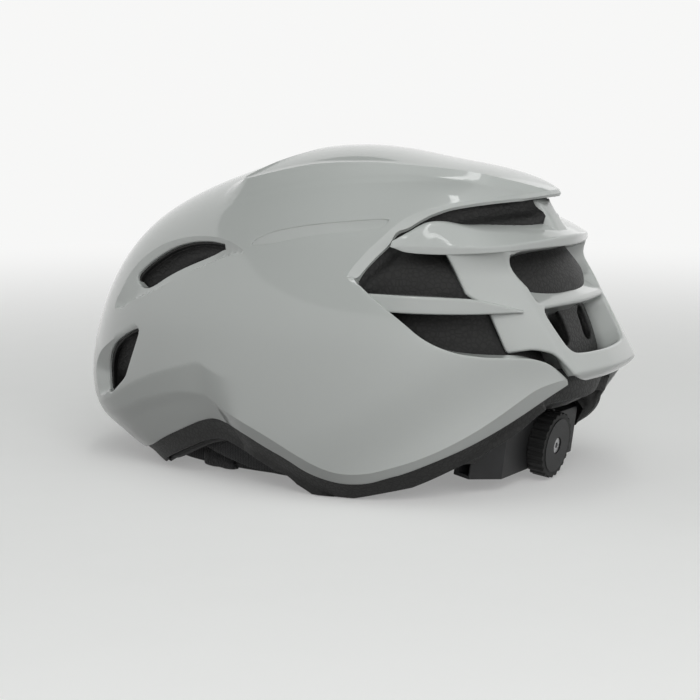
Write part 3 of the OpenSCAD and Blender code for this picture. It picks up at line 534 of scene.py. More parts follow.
def make_object(name: str, skin: Skin, body: str, slot: str, stands_for: Sequence[str] = (),
                sharp: float = 180.0) -> bpy.types.Object:
    """Blender object of a skin, in the row's frame.

    Args:
        name: the piece's name.
        skin: its surface in the drawing's millimetres.
        body: the CAD body that it rides on, or nothing for a piece that rides on none.
        slot: the record's material slot; not used.
        stands_for: CAD nodes that it replaces.
        sharp: turn in degrees from which an edge of the mesh is shaded crisp.

    Returns:
        The object, at the origin, with its place in its mesh.
    """
    points = (skin.points + [0, MIDDLE_Y, 0]) * MM
    mesh = bpy.data.meshes.new(name)
    loops = np.concatenate([skin.quads.ravel(), skin.tris.ravel()]).astype(np.int32)
    sizes = np.concatenate([np.full(len(skin.quads), 4), np.full(len(skin.tris), 3)])
    mesh.vertices.add(len(points))
    mesh.vertices.foreach_set("co", points.ravel())
    mesh.loops.add(len(loops))
    mesh.loops.foreach_set("vertex_index", loops)
    mesh.polygons.add(len(sizes))
    mesh.polygons.foreach_set("loop_start", np.concatenate([[0], np.cumsum(sizes)[:-1]]).astype(np.int32))
    mesh.polygons.foreach_set("use_smooth", np.ones(len(sizes), bool))
    mesh.update(calc_edges=True)
    mesh.validate()
    if sharp < 180:
        mesh.set_sharp_from_angle(angle=math.radians(sharp))
    piece = bpy.data.objects.new(name, mesh)
    bpy.context.scene.collection.objects.link(piece)
    if body:
        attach(piece, body)
    if stands_for:
        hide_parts(*stands_for)
    return piece


# Shapes that several pieces share

class Side(Enum):
    """Side of the wearer, with the sign of X there."""

    LEFT = 1
    RIGHT = -1

    @property
    def word(self) -> str:
        """The side's word in the names of pieces."""
        return self.name.lower()


@dataclass(frozen=True)
class Dome:
    """Dome in polar form about a cross axis.

    At the angle a over the crown and g to the side, the distance from the axis's middle is
    ((|sin g| / width)^power + (cos g / radius)^power)^(-1 / power), with radius, width and power read
    from tables over a.
    """

    radii: Array
    widths: Array
    powers: Array
    centre: tuple[float, float] = (5.0, -10.0)

    @staticmethod
    def of(radii: Sequence[float], widths: Sequence[float], powers: Sequence[float]) -> Dome:
        """Dome from values every 15 degrees for the radius, and every 30 for width and power."""
        return Dome(eased(radii, 15, 3.0), eased(widths, 30, 4.0), eased(powers, 30, 4.0))

    def side(self, y: Array, z: Array) -> Array:
        """Finds the dome's left side by halving the angle g twenty times.

        Args:
            y: places along Y.
            z: heights.

        Returns:
            X there, and 0 outside the dome.
        """
        a = np.degrees(np.arctan2(z - self.centre[1], self.centre[0] - y))
        reach = np.hypot(z - self.centre[1], self.centre[0] - y)
        low, high = np.zeros(a.shape), np.full(a.shape, 89.0)
        for _ in range(20):
            g = (low + high) / 2
            p = self.point(a, g)
            out = np.hypot(p[..., 2] - self.centre[1], self.centre[0] - p[..., 1]) > reach
            low, high = np.where(out, g, low), np.where(out, high, g)
        return reach * np.tan(np.radians(low))

    def point(self, a: Array, g: Array, depth: Array | float = 0.0) -> Array:
        """Points of the dome.

        Args:
            a: degrees over the crown, 0 at the brow's level and 180 at the nape's.
            g: degrees to the side, positive to the left.
            depth: how far the points lie inside the dome, towards the axis's middle.

        Returns:
            Points, shaped as a with one more axis.
        """
        angles = np.linspace(0, 180, 721)
        r, w, p = (np.interp(a, angles, t) for t in (self.radii, self.widths, self.powers))
        sg, cg = np.sin(np.radians(g)), np.cos(np.radians(g))
        reach = ((np.abs(sg) / w) ** p + (cg / r) ** p) ** (-1 / p) - depth
        ra = np.radians(a)
        return np.stack([reach * sg, self.centre[0] - reach * cg * np.cos(ra),
                         self.centre[1] + reach * cg * np.sin(ra)], axis=-1)


@dataclass(frozen=True)
class Outlines:
    """Edges that the shell, the foam and the rear frame share, in the drawing's millimetres."""

    rim: Outline = ((-116, 30), (-108, 24), (-95, 16), (-87, 12), (-79, 10), (-66, 13), (-58, 18),
                    (-50, 22), (-41, 26), (-32, 30), (-26, 32), (-20, 33), (-12, 31), (-2, 27), (9, 22),
                    (20, 18), (31, 12), (41, 9), (50, 8), (60, 9), (68, 12), (75, 14), (88, 20),
                    (100, 26), (111, 33), (120, 40), (126, 46), (132, 52))
    foam_edge: Outline = ((-116, 22), (-108, 15), (-97, 6), (-90, 0), (-70, 0), (-58, 9), (-50, 14),
                          (-41, 18), (-32, 22), (-20, 25), (-12, 23), (-2, 19), (9, 14), (20, 9),
                          (31, 3), (36, 0), (64, 0), (75, 6), (88, 12), (100, 19), (111, 26),
                          (120, 33), (126, 40), (132, 47))
    notch_top: Outline = ((45, 102), (50, 110), (55, 116), (61, 123.5), (66, 128), (73, 131.5),
                          (84, 134), (98, 136), (116, 137.5))
    notch_low: Outline = ((134, 51), (131.5, 54.5), (128.5, 59.3), (126.2, 62.2), (123.9, 64), (119.9, 65.8),
                          (112, 66.4), (104, 67.3), (93, 69.7), (81, 75.4), (71, 82.9), (58, 91))
    brow_vent: Outline = ((-89.4, 93.5), (-84.3, 98.7), (-76, 104.4), (-65.3, 109.8), (-51.7, 113.2),
                          (-37.9, 113.9), (-28.5, 112.6), (-27.5, 111.5), (-39, 106.6), (-51, 102.1),
                          (-63, 96.5), (-72.5, 90.6), (-79, 89.2), (-83.5, 90.3))
    low_vent: Outline = ((-102, 46), (-101, 55), (-95, 62), (-86, 67), (-77, 70.5), (-75.5, 69), (-77.5, 62),
                         (-82, 50), (-84, 45.5), (-91, 40), (-98.5, 34.5))
    centre_vent: Outline = ((-17, 84), (-21, 92), (-12, 99), (12, 99), (21, 92), (17, 84))
    crown_panel: Outline = ((0, -8), (20, -14), (36, -28), (46, -42), (46, -26), (44, -13), (41, 2),
                            (38, 17), (33, 30), (27, 48), (22, 67), (18, 86), (9, 102), (0, 116))
    brow_scoop: Outline = ((-104, 77), (-98.4, 87.8), (-94.4, 96), (-86.9, 104), (-76.7, 111), (-62, 116),
                           (-47.4, 117.9), (-34, 117.3), (-24, 114.4), (-16.9, 111.5), (-27.5, 110),
                           (-38.4, 105.2), (-54.5, 98.6), (-70.6, 88.6), (-86, 82.5), (-96, 76.5))
    low_scoop: Outline = ((-111, 33), (-114, 40), (-117, 46), (-113, 54), (-101, 61), (-89, 67),
                          (-81, 71), (-77, 72), (-76, 68), (-80, 57), (-83, 46), (-91, 42), (-98, 38),
                          (-105, 33))
    crease: Outline = ((-130, 22), (-110, 24), (-90, 30), (-71, 38), (-51, 43.6), (-36, 45.5), (-28, 44.4),
                       (-17, 38.7), (-5, 33.8), (10, 27.8), (24, 21.4), (37, 15.4), (46.5, 13), (56, 13.6),
                       (62, 14.6), (83, 21.8), (100, 31.7), (111, 40.5), (119, 48.2), (124, 53), (131, 56),
                       (150, 60))
    brow_crease: Outline = ((-130, 22), (-110, 29), (-88, 39), (-70, 47), (-59, 51), (-43, 56),
                            (-33, 59), (-26, 56), (-16, 53), (-6, 52), (20, 50))
    groove: Outline = ((-16.5, 113.2), (-10, 117.6), (-2.3, 120.6), (16, 124), (38, 126.3), (51, 127.2),
                       (52.5, 126), (51, 123.6), (40.3, 121.9), (24.4, 120.2), (8.3, 117.3), (-4.3, 114.2))

    def notch(self) -> Array:
        """The V notch at the rear, in y and z."""
        line = softened(list(self.notch_low) + [(45, 100)] + list(self.notch_top), closed=False, rounds=2)
        return np.concatenate([line, [(175, 139), (175, 40), (145, 40)]])

    def below(self, edge: Outline) -> Array:
        """The region below a lower edge, in y and z.

        Args:
            edge: the lower edge, from the brow to the nape.

        Returns:
            The closed outline of the region.
        """
        line = softened(edge, closed=False, rounds=2)
        return np.concatenate([[(-200, line[0][1] + 8), (-150, line[0][1] + 8)], line,
                               [(200, 52), (200, -90), (-200, -90)]])


OUTLINES = Outlines()
SHELL_DOME = Dome.of([99, 150, 165.5, 171, 169, 168, 168, 168, 177, 182, 152, 147, 145],
                     [98, 101, 104, 104, 104, 103, 103], [2.3, 2.3, 2.35, 2.35, 2.3, 2.1, 2.1])
HEAD_DOME = Dome.of([110, 117, 133, 139, 140, 140, 140, 139, 137, 132, 122, 110, 104], [80.0] * 7,
                    [2.3] * 7)


def across_sight(p: Array) -> tuple[Array, Array]:
    """Places across the line of sight from the left rear, scaled up with their nearness.

    Args:
        p: points; the right side is treated as the left.

    Returns:
        How far to the right and how far up a point lies, at the scale of the helmet's middle.
    """
    x, y, z = np.abs(p[..., 0]), p[..., 1] - SIGHT_MIDDLE[0], p[..., 2] - SIGHT_MIDDLE[1]
    scale = CAMERA_OFF / (CAMERA_OFF - 0.8576 * x - 0.4951 * y - 0.139 * z)
    return (0.866 * y - 0.5 * x) * scale, (0.99 * z - 0.139 * (0.866 * x + 0.5 * y)) * scale


@dataclass
class Vents:
    """Signed distances to the openings of shell and foam, positive inside them."""

    brow: Array = field(default_factory=lambda: softened(OUTLINES.brow_vent, rounds=2))
    low: Array = field(default_factory=lambda: softened(OUTLINES.low_vent, rounds=2))
    centre: Array = field(default_factory=lambda: softened(OUTLINES.centre_vent, rounds=3))
    notch: Array = field(default_factory=OUTLINES.notch)
    rim: Array = field(default_factory=lambda: OUTLINES.below(OUTLINES.rim))
    foam_edge: Array = field(default_factory=lambda: OUTLINES.below(OUTLINES.foam_edge))

    def openings(self, p: Array) -> Array:
        """Greatest of the distances into the brow, low and centre vents.

        Args:
            p: points of the dome.

        Returns:
            Distances, positive inside a vent.
        """
        x, y, z = p[..., 0], p[..., 1], p[..., 2]
        front = np.where(y < -40, inside(x, z, self.centre), OUTSIDE)
        return np.maximum.reduce([inside(y, z, self.brow), inside(y, z, self.low), front])

    def in_notch(self, p: Array) -> Array:
        """Distance into the V notch."""
        return inside(p[..., 1], p[..., 2], self.notch)

    def below_rim(self, p: Array) -> Array:
        """Distance below the shell's rim."""
        return inside(p[..., 1], p[..., 2], self.rim)

    def below_foam(self, p: Array) -> Array:
        """Distance below the foam's lower edge."""
        return inside(p[..., 1], p[..., 2], self.foam_edge)


VENTS = Vents()


# Finishes

class Socket:
    """Output of a material's node, on which shader maths is written as plain arithmetic."""

    def __init__(self, paint: Paint, socket: bpy.types.NodeSocket) -> None:
        """Wraps a socket of that paint's tree."""
        self.paint, self.socket = paint, socket

    def _maths(self, operation: str, a: Socket | float, b: Socket | float) -> Socket:
        """Math node on two values or sockets."""
        return self.paint.node("ShaderNodeMath", {"operation": operation}, {0: a, 1: b})

    def __add__(self, other: Socket | float) -> Socket:
        """Sum."""
        return self._maths("ADD", self, other)

    def __rsub__(self, other: Socket | float) -> Socket:
        """Difference from a number."""
        return self._maths("SUBTRACT", other, self)

    def __mul__(self, other: Socket | float) -> Socket:
        """Product."""
        return self._maths("MULTIPLY", self, other)

    def __pow__(self, other: Socket | float) -> Socket:
        """Power."""
        return self._maths("POWER", self, other)

    __radd__, __rmul__ = __add__, __mul__

    def sine(self) -> Socket:
        """Sine of the value in radians."""
        return self._maths("SINE", self, 0.0)

    def clamped(self) -> Socket:
        """Value kept from 0 to 1."""
        return self.paint.node("ShaderNodeClamp", {}, {0: self})

    def steps(self, low: float, high: float) -> Socket:
        """0 up to low, 1 from high, smooth between."""
        return self.paint.node("ShaderNodeMapRange", {"interpolation_type": "SMOOTHSTEP"},
                               {0: self, 1: low, 2: high, 3: 0.0, 4: 1.0})


class Paint:
    """Material under construction: its tree, its surface shader and its coordinates."""

    def __init__(self, name: str) -> None:
        """Empty material with one Principled shader.

        Args:
            name: the material's name.
        """
        self.material = bpy.data.materials.new(name)
        self.material.use_nodes = True
        self.tree = self.material.node_tree
        self.tree.nodes.clear()
        self.shader = self.tree.nodes.new("ShaderNodeBsdfPrincipled")
        output = self.tree.nodes.new("ShaderNodeOutputMaterial")
        self.tree.links.new(self.shader.outputs[0], output.inputs[0])

    def node(self, kind: str, settings: dict[str, object], inputs: dict[int | str, object],
             output: int | str = 0) -> Socket:
        """Adds a node.

        Args:
            kind: the node's type.
            settings: its properties.
            inputs: values or sockets by input name or number.
            output: which output is returned.

        Returns:
            The output, wrapped.
        """
        made = self.tree.nodes.new(kind)
        for key, value in settings.items():
            setattr(made, key, value)
        for key, value in inputs.items():
            if isinstance(value, Socket):
                self.tree.links.new(value.socket, made.inputs[key])
            else:
                made.inputs[key].default_value = value
        return Socket(self, made.outputs[output])

    def object_place(self) -> Socket:
        """Object coordinates, in metres."""
        return self.node("ShaderNodeTexCoord", {}, {}, "Object")

    def axis(self, place: Socket, which: int) -> Socket:
        """One coordinate of a vector."""
        return self.node("ShaderNodeSeparateXYZ", {}, {0: place}, which)

    def noise(self, place: Socket, scale: float, detail: float = 2.0, rough: float = 0.5) -> Socket:
        """Fractal noise from 0 to 1."""
        return self.node("ShaderNodeTexNoise", {}, {"Vector": place, "Scale": scale, "Detail": detail,
                                                    "Roughness": rough}, "Fac")

    def cells(self, place: Socket, scale: float, feature: str = "F1") -> Socket:
        """Distance to the nearest of scattered points."""
        return self.node("ShaderNodeTexVoronoi", {"feature": feature}, {"Vector": place, "Scale": scale},
                         "Distance")

    def tint(self, share: Socket, low: Sequence[float], high: Sequence[float]) -> Socket:
        """Colour between two colours."""
        return self.node("ShaderNodeMix", {"data_type": "RGBA"},
                         {0: share, 6: (*low, 1.0), 7: (*high, 1.0)}, 2)

    def set(self, **values: object) -> None:
        """Sets shader inputs.

        Args:
            values: numbers, colours or sockets by input name, with underscores for spaces.
        """
        for key, value in values.items():
            target = self.shader.inputs[key.replace("_", " ")]
            if isinstance(value, Socket):
                self.tree.links.new(value.socket, target)
            else:
                target.default_value = (*value, 1.0) if isinstance(value, tuple) else value

    def bump(self, height: Socket, strength: float, distance_m: float) -> None:
        """Relief on the surface from a height.

        Args:
            height: the height.
            strength: share of the relief that shows.
            distance_m: what a height of 1 stands for, in metres.
        """
        made = self.node("ShaderNodeBump", {}, {"Strength": strength, "Distance": distance_m,
                                                "Height": height}, "Normal")
        self.set(Normal=made)


@dataclass(frozen=True)
class GlossPaint:
    """Pearl paint under a clear coat."""

    name: str = "pearl_gloss"
    colour: tuple[float, float, float] = (0.56, 0.58, 0.565)
    shade: tuple[float, float, float] = (0.50, 0.52, 0.505)
    roughness: float = 0.32
    coat: float = 1.0

    def make(self) -> bpy.types.Material:
        """Fine pearl flakes, faint clouding and orange peel.

        Returns:
            The paint.
        """
        paint = Paint(self.name)
        place = paint.object_place()
        flakes = paint.cells(place, 5200.0)
        clouds = paint.noise(place, 14.0, 3.0)
        paint.set(Base_Color=paint.tint((clouds * 0.6 + flakes * 0.35).clamped(), self.shade, self.colour),
                  Roughness=self.roughness + flakes * 0.06, Coat_Weight=self.coat, Coat_Roughness=0.05,
                  Metallic=0.0, IOR=1.5, Sheen_Weight=0.0)
        paint.bump(paint.noise(place, 420.0, 2.0), 0.035, 0.0004)
        return paint.material


@dataclass(frozen=True)
class BeadFoam:
    """Moulded bead foam: flattened beads with fine seams between them."""

    name: str = "bead_foam"
    colour: tuple[float, float, float] = (0.010, 0.0098, 0.0095)
    seam: tuple[float, float, float] = (0.004, 0.004, 0.004)
    bead: float = 0.0024

    def make(self) -> bpy.types.Material:
        """Beads from the distance to their cells' edges, with a fine noise.

        Returns:
            The foam's material.
        """
        paint = Paint(self.name)
        place = paint.object_place()
        edge = paint.cells(place, 1 / self.bead, "DISTANCE_TO_EDGE")
        body = edge.steps(0.0, 0.2)
        tone = paint.noise(place, 380.0, 2.0)
        paint.set(Base_Color=paint.tint((body * 0.5 + tone * 0.6).clamped(), self.seam, self.colour),
                  Roughness=0.6 - body * 0.08)
        paint.bump(body + paint.noise(place, 1500.0) * 0.4, 0.3, 0.0003)
        return paint.material


@dataclass(frozen=True)
class Webbing:
    """Woven strap: ribs across the strap's length, with finer threads in them."""

    name: str = "webbing"
    colour: tuple[float, float, float] = (0.022, 0.022, 0.024)
    pitch: float = 0.0016

    def make(self) -> bpy.types.Material:
        """Sines across and along the strap, on its own UV map in metres.

        Returns:
            The weave's material.
        """
        paint = Paint(self.name)
        uv = paint.node("ShaderNodeTexCoord", {}, {}, "UV")
        along, across = paint.axis(uv, 0), paint.axis(uv, 1)
        turn = 2 * math.pi / self.pitch
        ribs = (along * turn + (across * turn * 1.3).sine() * 0.9).sine()
        threads = (across * turn * 1.3).sine() * (along * turn).sine()
        weave = (ribs * 0.35 + threads * 0.25 + 0.5).clamped()
        paint.set(Base_Color=paint.tint(weave, tuple(c * 0.35 for c in self.colour), self.colour),
                  Roughness=0.75 - weave * 0.15, Sheen_Weight=0.3, Sheen_Roughness=0.5)
        paint.bump(weave, 0.6, 0.0003)
        return paint.material


@dataclass(frozen=True)
class Knit:
    """Brushed knit over foam padding."""

    name: str = "pad_knit"
    colour: tuple[float, float, float] = (0.03, 0.03, 0.033)

    def make(self) -> bpy.types.Material:
        """Holes between scattered points under a fine fuzz.

        Returns:
            The knit's material.
        """
        paint = Paint(self.name)
        place = paint.object_place()
        holes = paint.cells(place, 900.0)
        fuzz = paint.noise(place, 2600.0, 4.0)
        paint.set(Base_Color=paint.tint((holes * 0.9 + fuzz * 0.3).clamped(), (0.012, 0.012, 0.013),
                                        self.colour),
                  Roughness=0.92, Sheen_Weight=0.5, Sheen_Roughness=0.6)
        paint.bump(holes + fuzz * 0.5, 0.55, 0.0005)
        return paint.material


@dataclass(frozen=True)
class Moulding:
    """Moulded plastic or rubber with a fine spark-eroded grain."""

    name: str
    colour: tuple[float, float, float] = (0.02, 0.02, 0.021)
    roughness: float = 0.45
    grain: float = 0.25

    def make(self) -> bpy.types.Material:
        """Fine grain with a little paler clouds.

        Returns:
            The moulding's material.
        """
        paint = Paint(self.name)
        place = paint.object_place()
        grain = paint.noise(place, 2200.0, 3.0)
        wear = paint.noise(place, 60.0, 3.0)
        paint.set(Base_Color=paint.tint(wear.steps(0.3, 0.8), tuple(c * 0.8 for c in self.colour),
                                        tuple(c * 1.3 for c in self.colour)),
                  Roughness=self.roughness + grain * 0.15)
        paint.bump(grain, self.grain, 0.0002)
        return paint.material


@dataclass(frozen=True)
class Steel:
    """Turned or rolled steel with fine marks round its axis."""

    name: str = "steel"
    colour: tuple[float, float, float] = (0.55, 0.55, 0.56)

    def make(self) -> bpy.types.Material:
        """Bare metal, rougher and paler along its marks.

        Returns:
            The steel's material.
        """
        paint = Paint(self.name)
        place = paint.object_place()
        marks = paint.noise(place, 900.0, 4.0, 0.6)
        paint.set(Base_Color=paint.tint(marks, tuple(c * 0.85 for c in self.colour), self.colour),
                  Metallic=1.0, Roughness=0.28 + marks * 0.12)
        paint.bump(marks, 0.1, 0.0001)
        return paint.material


# Shell

@dataclass
class Shell:
    """Gloss shell: bevelled rim, scooped vents, raised crown panel and the grooves behind the vents.

    The grid runs over the crown between the two angles in over and to the sides up to the angle across,
    in columns and rows.
    """

    skin: float = 2.4
    wall_depth: float = 7.0
    vent_depth: float = 4.5
    lip_depth: float = 1.5
    crown_rise: float = 2.9
    crown_ramp: float = 9.5
    ridge: float = 0.5
    bevel_slope: float = 0.75
    scoop_depth: float = 5.0
    groove_depth: float = 2.4
    tail_tuck: float = 3.5
    facet: float = 4.0
    over: tuple[float, float] = (11.5, 163.5)
    across: float = 76.0
    columns: int = 262
    rows: int = 300
    crown: Array = field(default_factory=lambda: softened(
        list(OUTLINES.crown_panel) + [(-x, y) for x, y in OUTLINES.crown_panel[-2:0:-1]], rounds=2))
    scoops: tuple[Array, Array] = field(default_factory=lambda: (
        softened(OUTLINES.brow_scoop, rounds=2), softened(OUTLINES.low_scoop, rounds=2)))
    groove: Array = field(default_factory=lambda: softened(OUTLINES.groove, rounds=2))

    @staticmethod
    def height_over(p: Array, crease: Outline) -> Array:
        """Height over the bevel's crease or the brow's, from the crease's height at the point's y."""
        line = softened(crease, closed=False, rounds=2)
        return p[..., 2] - np.interp(p[..., 1], line[:, 0], line[:, 1])

    def brow_crease_level(self, p: Array) -> Array:
        """Height over the upper crease where it is sharp, and a constant behind it."""
        return np.where(p[..., 1] < -12, self.height_over(p, OUTLINES.brow_crease), 9.0)

    def scoop_level(self, p: Array) -> Array:
        """Distance into the nearer scoop."""
        return np.maximum(*(inside(p[..., 1], p[..., 2], s) for s in self.scoops))

    def relief(self, p: Array) -> Array:
        """How far the surface lies inside the dome, as the sum of the shell's features.

        Bevel: slope times the distance below its crease. Brow facet: a small slope below its own crease.
        Scoops: the distance inside the scoop's outline, up to its depth. Crown: lower than the dome but
        for the raised panel, round which it falls in a straight ramp with a fine bead along both its
        edges. Tail: drawn in towards its tip.

        Args:
            p: points of the dome.

        Returns:
            Depths in mm.
        """
        x, y, z = p[..., 0], p[..., 1], p[..., 2]
        slope = self.bevel_slope - 0.25 * smooth(-y, 10, 60)
        bevel = np.minimum(slope * np.maximum(-self.height_over(p, OUTLINES.crease), 0), 10.0)
        facet = 0.3 * np.maximum(-self.height_over(p, OUTLINES.brow_crease), 0) * smooth(-y, 5, 30)
        deep = sum(np.clip(0.9 * inside(y, z, s), 0, self.scoop_depth) for s in self.scoops)
        out = -inside(x, y, self.crown)
        ramp_width = self.crown_ramp * (0.6 + 0.4 * smooth(np.abs(x), 22, 44))
        bead = self.ridge * (np.exp(-(out / 1.3) ** 2) + np.exp(-((out - ramp_width) / 1.3) ** 2))
        bead = bead * smooth(np.abs(x), 20, 40) * (1 - smooth(y, 80, 110))
        panel = self.crown_rise * np.clip(out / ramp_width, 0, 1) * smooth(y, -105, -50) - bead - 0.3
        tail = self.tail_tuck * smooth(y, 92, 130) * (1 - smooth(z, 70, 100))
        return bevel + np.minimum(facet, 4.0) + deep + panel * smooth(z, 70, 110) + tail

    def place(self, a: Array, g: Array, depth: float = 0.0) -> Array:
        """Point of the shell's outer surface, moved in by its relief and by depth."""
        return SHELL_DOME.point(a, g, depth + self.relief(SHELL_DOME.point(a, g)))

    def seen(self, a: Array, g: Array) -> Array:
        """Points of the plain dome that the relieved surface covers, seen from the side and the rear.

        The outlines are drawn on the plain dome. Where the surface lies deeper by its relief, its point is
        carried back along the line of sight to the dome's tangent plane, so that an outline keeps its
        place in that view. Both sides of the helmet are treated alike.

        Args:
            a: degrees over the crown.
            g: degrees to the side.

        Returns:
            The points, shaped as a with one more axis.
        """
        p, moved, h = SHELL_DOME.point(a, g), self.place(a, g), 0.3
        normal = unit(np.cross(SHELL_DOME.point(a, g + h) - SHELL_DOME.point(a, g - h),
                               SHELL_DOME.point(a + h, g) - SHELL_DOME.point(a - h, g)))
        sight = np.stack([np.where(g < 0, -SIGHT[0], SIGHT[0]), np.full(g.shape, SIGHT[1]),
                          np.full(g.shape, SIGHT[2])], axis=-1)
        facing = (normal * sight).sum(axis=-1)
        normal = np.where((normal * p).sum(axis=-1, keepdims=True) < 0, -1, 1) * normal
        facing = np.maximum(np.abs(facing), 0.35)
        return moved + (((p - moved) * normal).sum(axis=-1) / facing)[..., None] * sight

    def keep(self, a: Array, g: Array) -> Array:
        """Clearance from the rim, the vents and the notch; their roundings take part of it.

        Args:
            a: degrees over the crown.
            g: degrees to the side.

        Returns:
            Distances, negative where the shell is cut away.
        """
        p = self.seen(a, g)
        return np.minimum.reduce([-VENTS.below_rim(p) - 0.6, -VENTS.openings(p) - 0.6,
                                  -VENTS.in_notch(p) - 0.5 - self.facet_width(p), -self.in_groove(p) - 0.4])

    def facet_width(self, p: Array) -> Array:
        """Width of the flat along the notch's upper edge: full above the apex, narrow along the rear lip."""
        y, z = p[..., 1], p[..., 2]
        return self.facet * smooth(z, 97, 102) * (1 - 0.62 * smooth(y, 56, 74))

    def in_groove(self, p: Array) -> Array:
        """Distance into the groove behind the brow vent."""
        return inside(p[..., 1], p[..., 2], self.groove)

    def edge(self, p: Array) -> Edge:
        """Sizes of an edge, by the opening that it belongs to.

        Args:
            p: points of the border.

        Returns:
            The rounding, the wall's depth and return, and the flat along the notch.
        """
        groove = self.in_groove(p) > -3
        notch = (np.abs(VENTS.in_notch(p)) < 7) & ~groove
        lip = (p[:, 1] > 96) & (p[:, 2] > 118)
        vent = (VENTS.openings(p) > -16) & ~notch & ~groove
        upper = self.wall_depth - 5.5 * smooth(p[:, 2], 98, 104)
        depth = np.where(notch, np.where(lip, self.lip_depth, upper),
                         np.where(vent, self.vent_depth, self.skin + 0.4))
        return Edge(np.where(groove, 0.5, 0.8), depth, np.where(notch | vent, 2.0, 0.9),
                    np.where(notch, self.facet_width(p), 0.0))

    def build(self) -> bpy.types.Object:
        """The shell as one closed solid.

        Returns:
            The piece, in place of the CAD shell.
        """
        a = np.linspace(*self.over, self.rows)
        g = np.linspace(-1, 1, self.columns)
        g = self.across * (0.86 * g + 0.14 * g ** 3)
        creases = [lambda u, v: self.height_over(SHELL_DOME.point(v, u), OUTLINES.crease),
                   lambda u, v: self.brow_crease_level(SHELL_DOME.point(v, u)),
                   lambda u, v: self.scoop_level(SHELL_DOME.point(v, u)),
                   lambda u, v: inside(*np.moveaxis(SHELL_DOME.point(v, u)[..., :2], -1, 0), self.crown)]
        sheet, _, _ = trimmed(lambda u, v: self.place(v, u), lambda u, v: self.keep(v, u), creases, g, a)
        solid = walled(sheet, sheet.points - sheet.normals() * self.skin, self.edge)
        return make_object("shell", solid, "helmet", "shell_gloss", ["outer_shell"], sharp=21)

    def floor(self, side: Side) -> bpy.types.Object:
        """Floor of the groove behind one brow vent.

        Args:
            side: the wearer's side.

        Returns:
            A thin closed sheet that lies below the groove and runs on under its edges.
        """
        a, g = np.linspace(80, 116, 90), side.value * np.linspace(18, 42, 60)

        def keep(u: Array, v: Array) -> Array:
            """Clearance from the floor's edge, a little outside the groove."""
            return self.in_groove(self.seen(v, u)) + 1.2

        def sunk(u: Array, v: Array) -> Array:
            """Floor that falls from the groove's upper edge to its full depth at the lower one.

            Args:
                u: degrees to the side.
                v: degrees over the crown.

            Returns:
                Points of the floor.
            """
            p = self.seen(v, u)
            line = np.asarray(OUTLINES.groove, float)
            top = np.interp(p[..., 1], line[:6, 0], line[:6, 1]) - p[..., 2]
            low = p[..., 2] - np.interp(p[..., 1], line[:6:-1, 0], line[:6:-1, 1])
            share = np.clip(top / np.maximum(top + low, 0.5), -0.2, 1.2)
            return self.place(v, u, 0.5 + self.groove_depth * share)

        sheet, _, _ = trimmed(sunk, keep, [], g, a, fold=side is Side.RIGHT)
        solid = walled(sheet, sheet.points - sheet.normals() * 0.7, even_edge(0.1, 0.4), steps=2)
        return make_object("groove_floor_" + side.word, solid, "helmet", "shell_gloss")


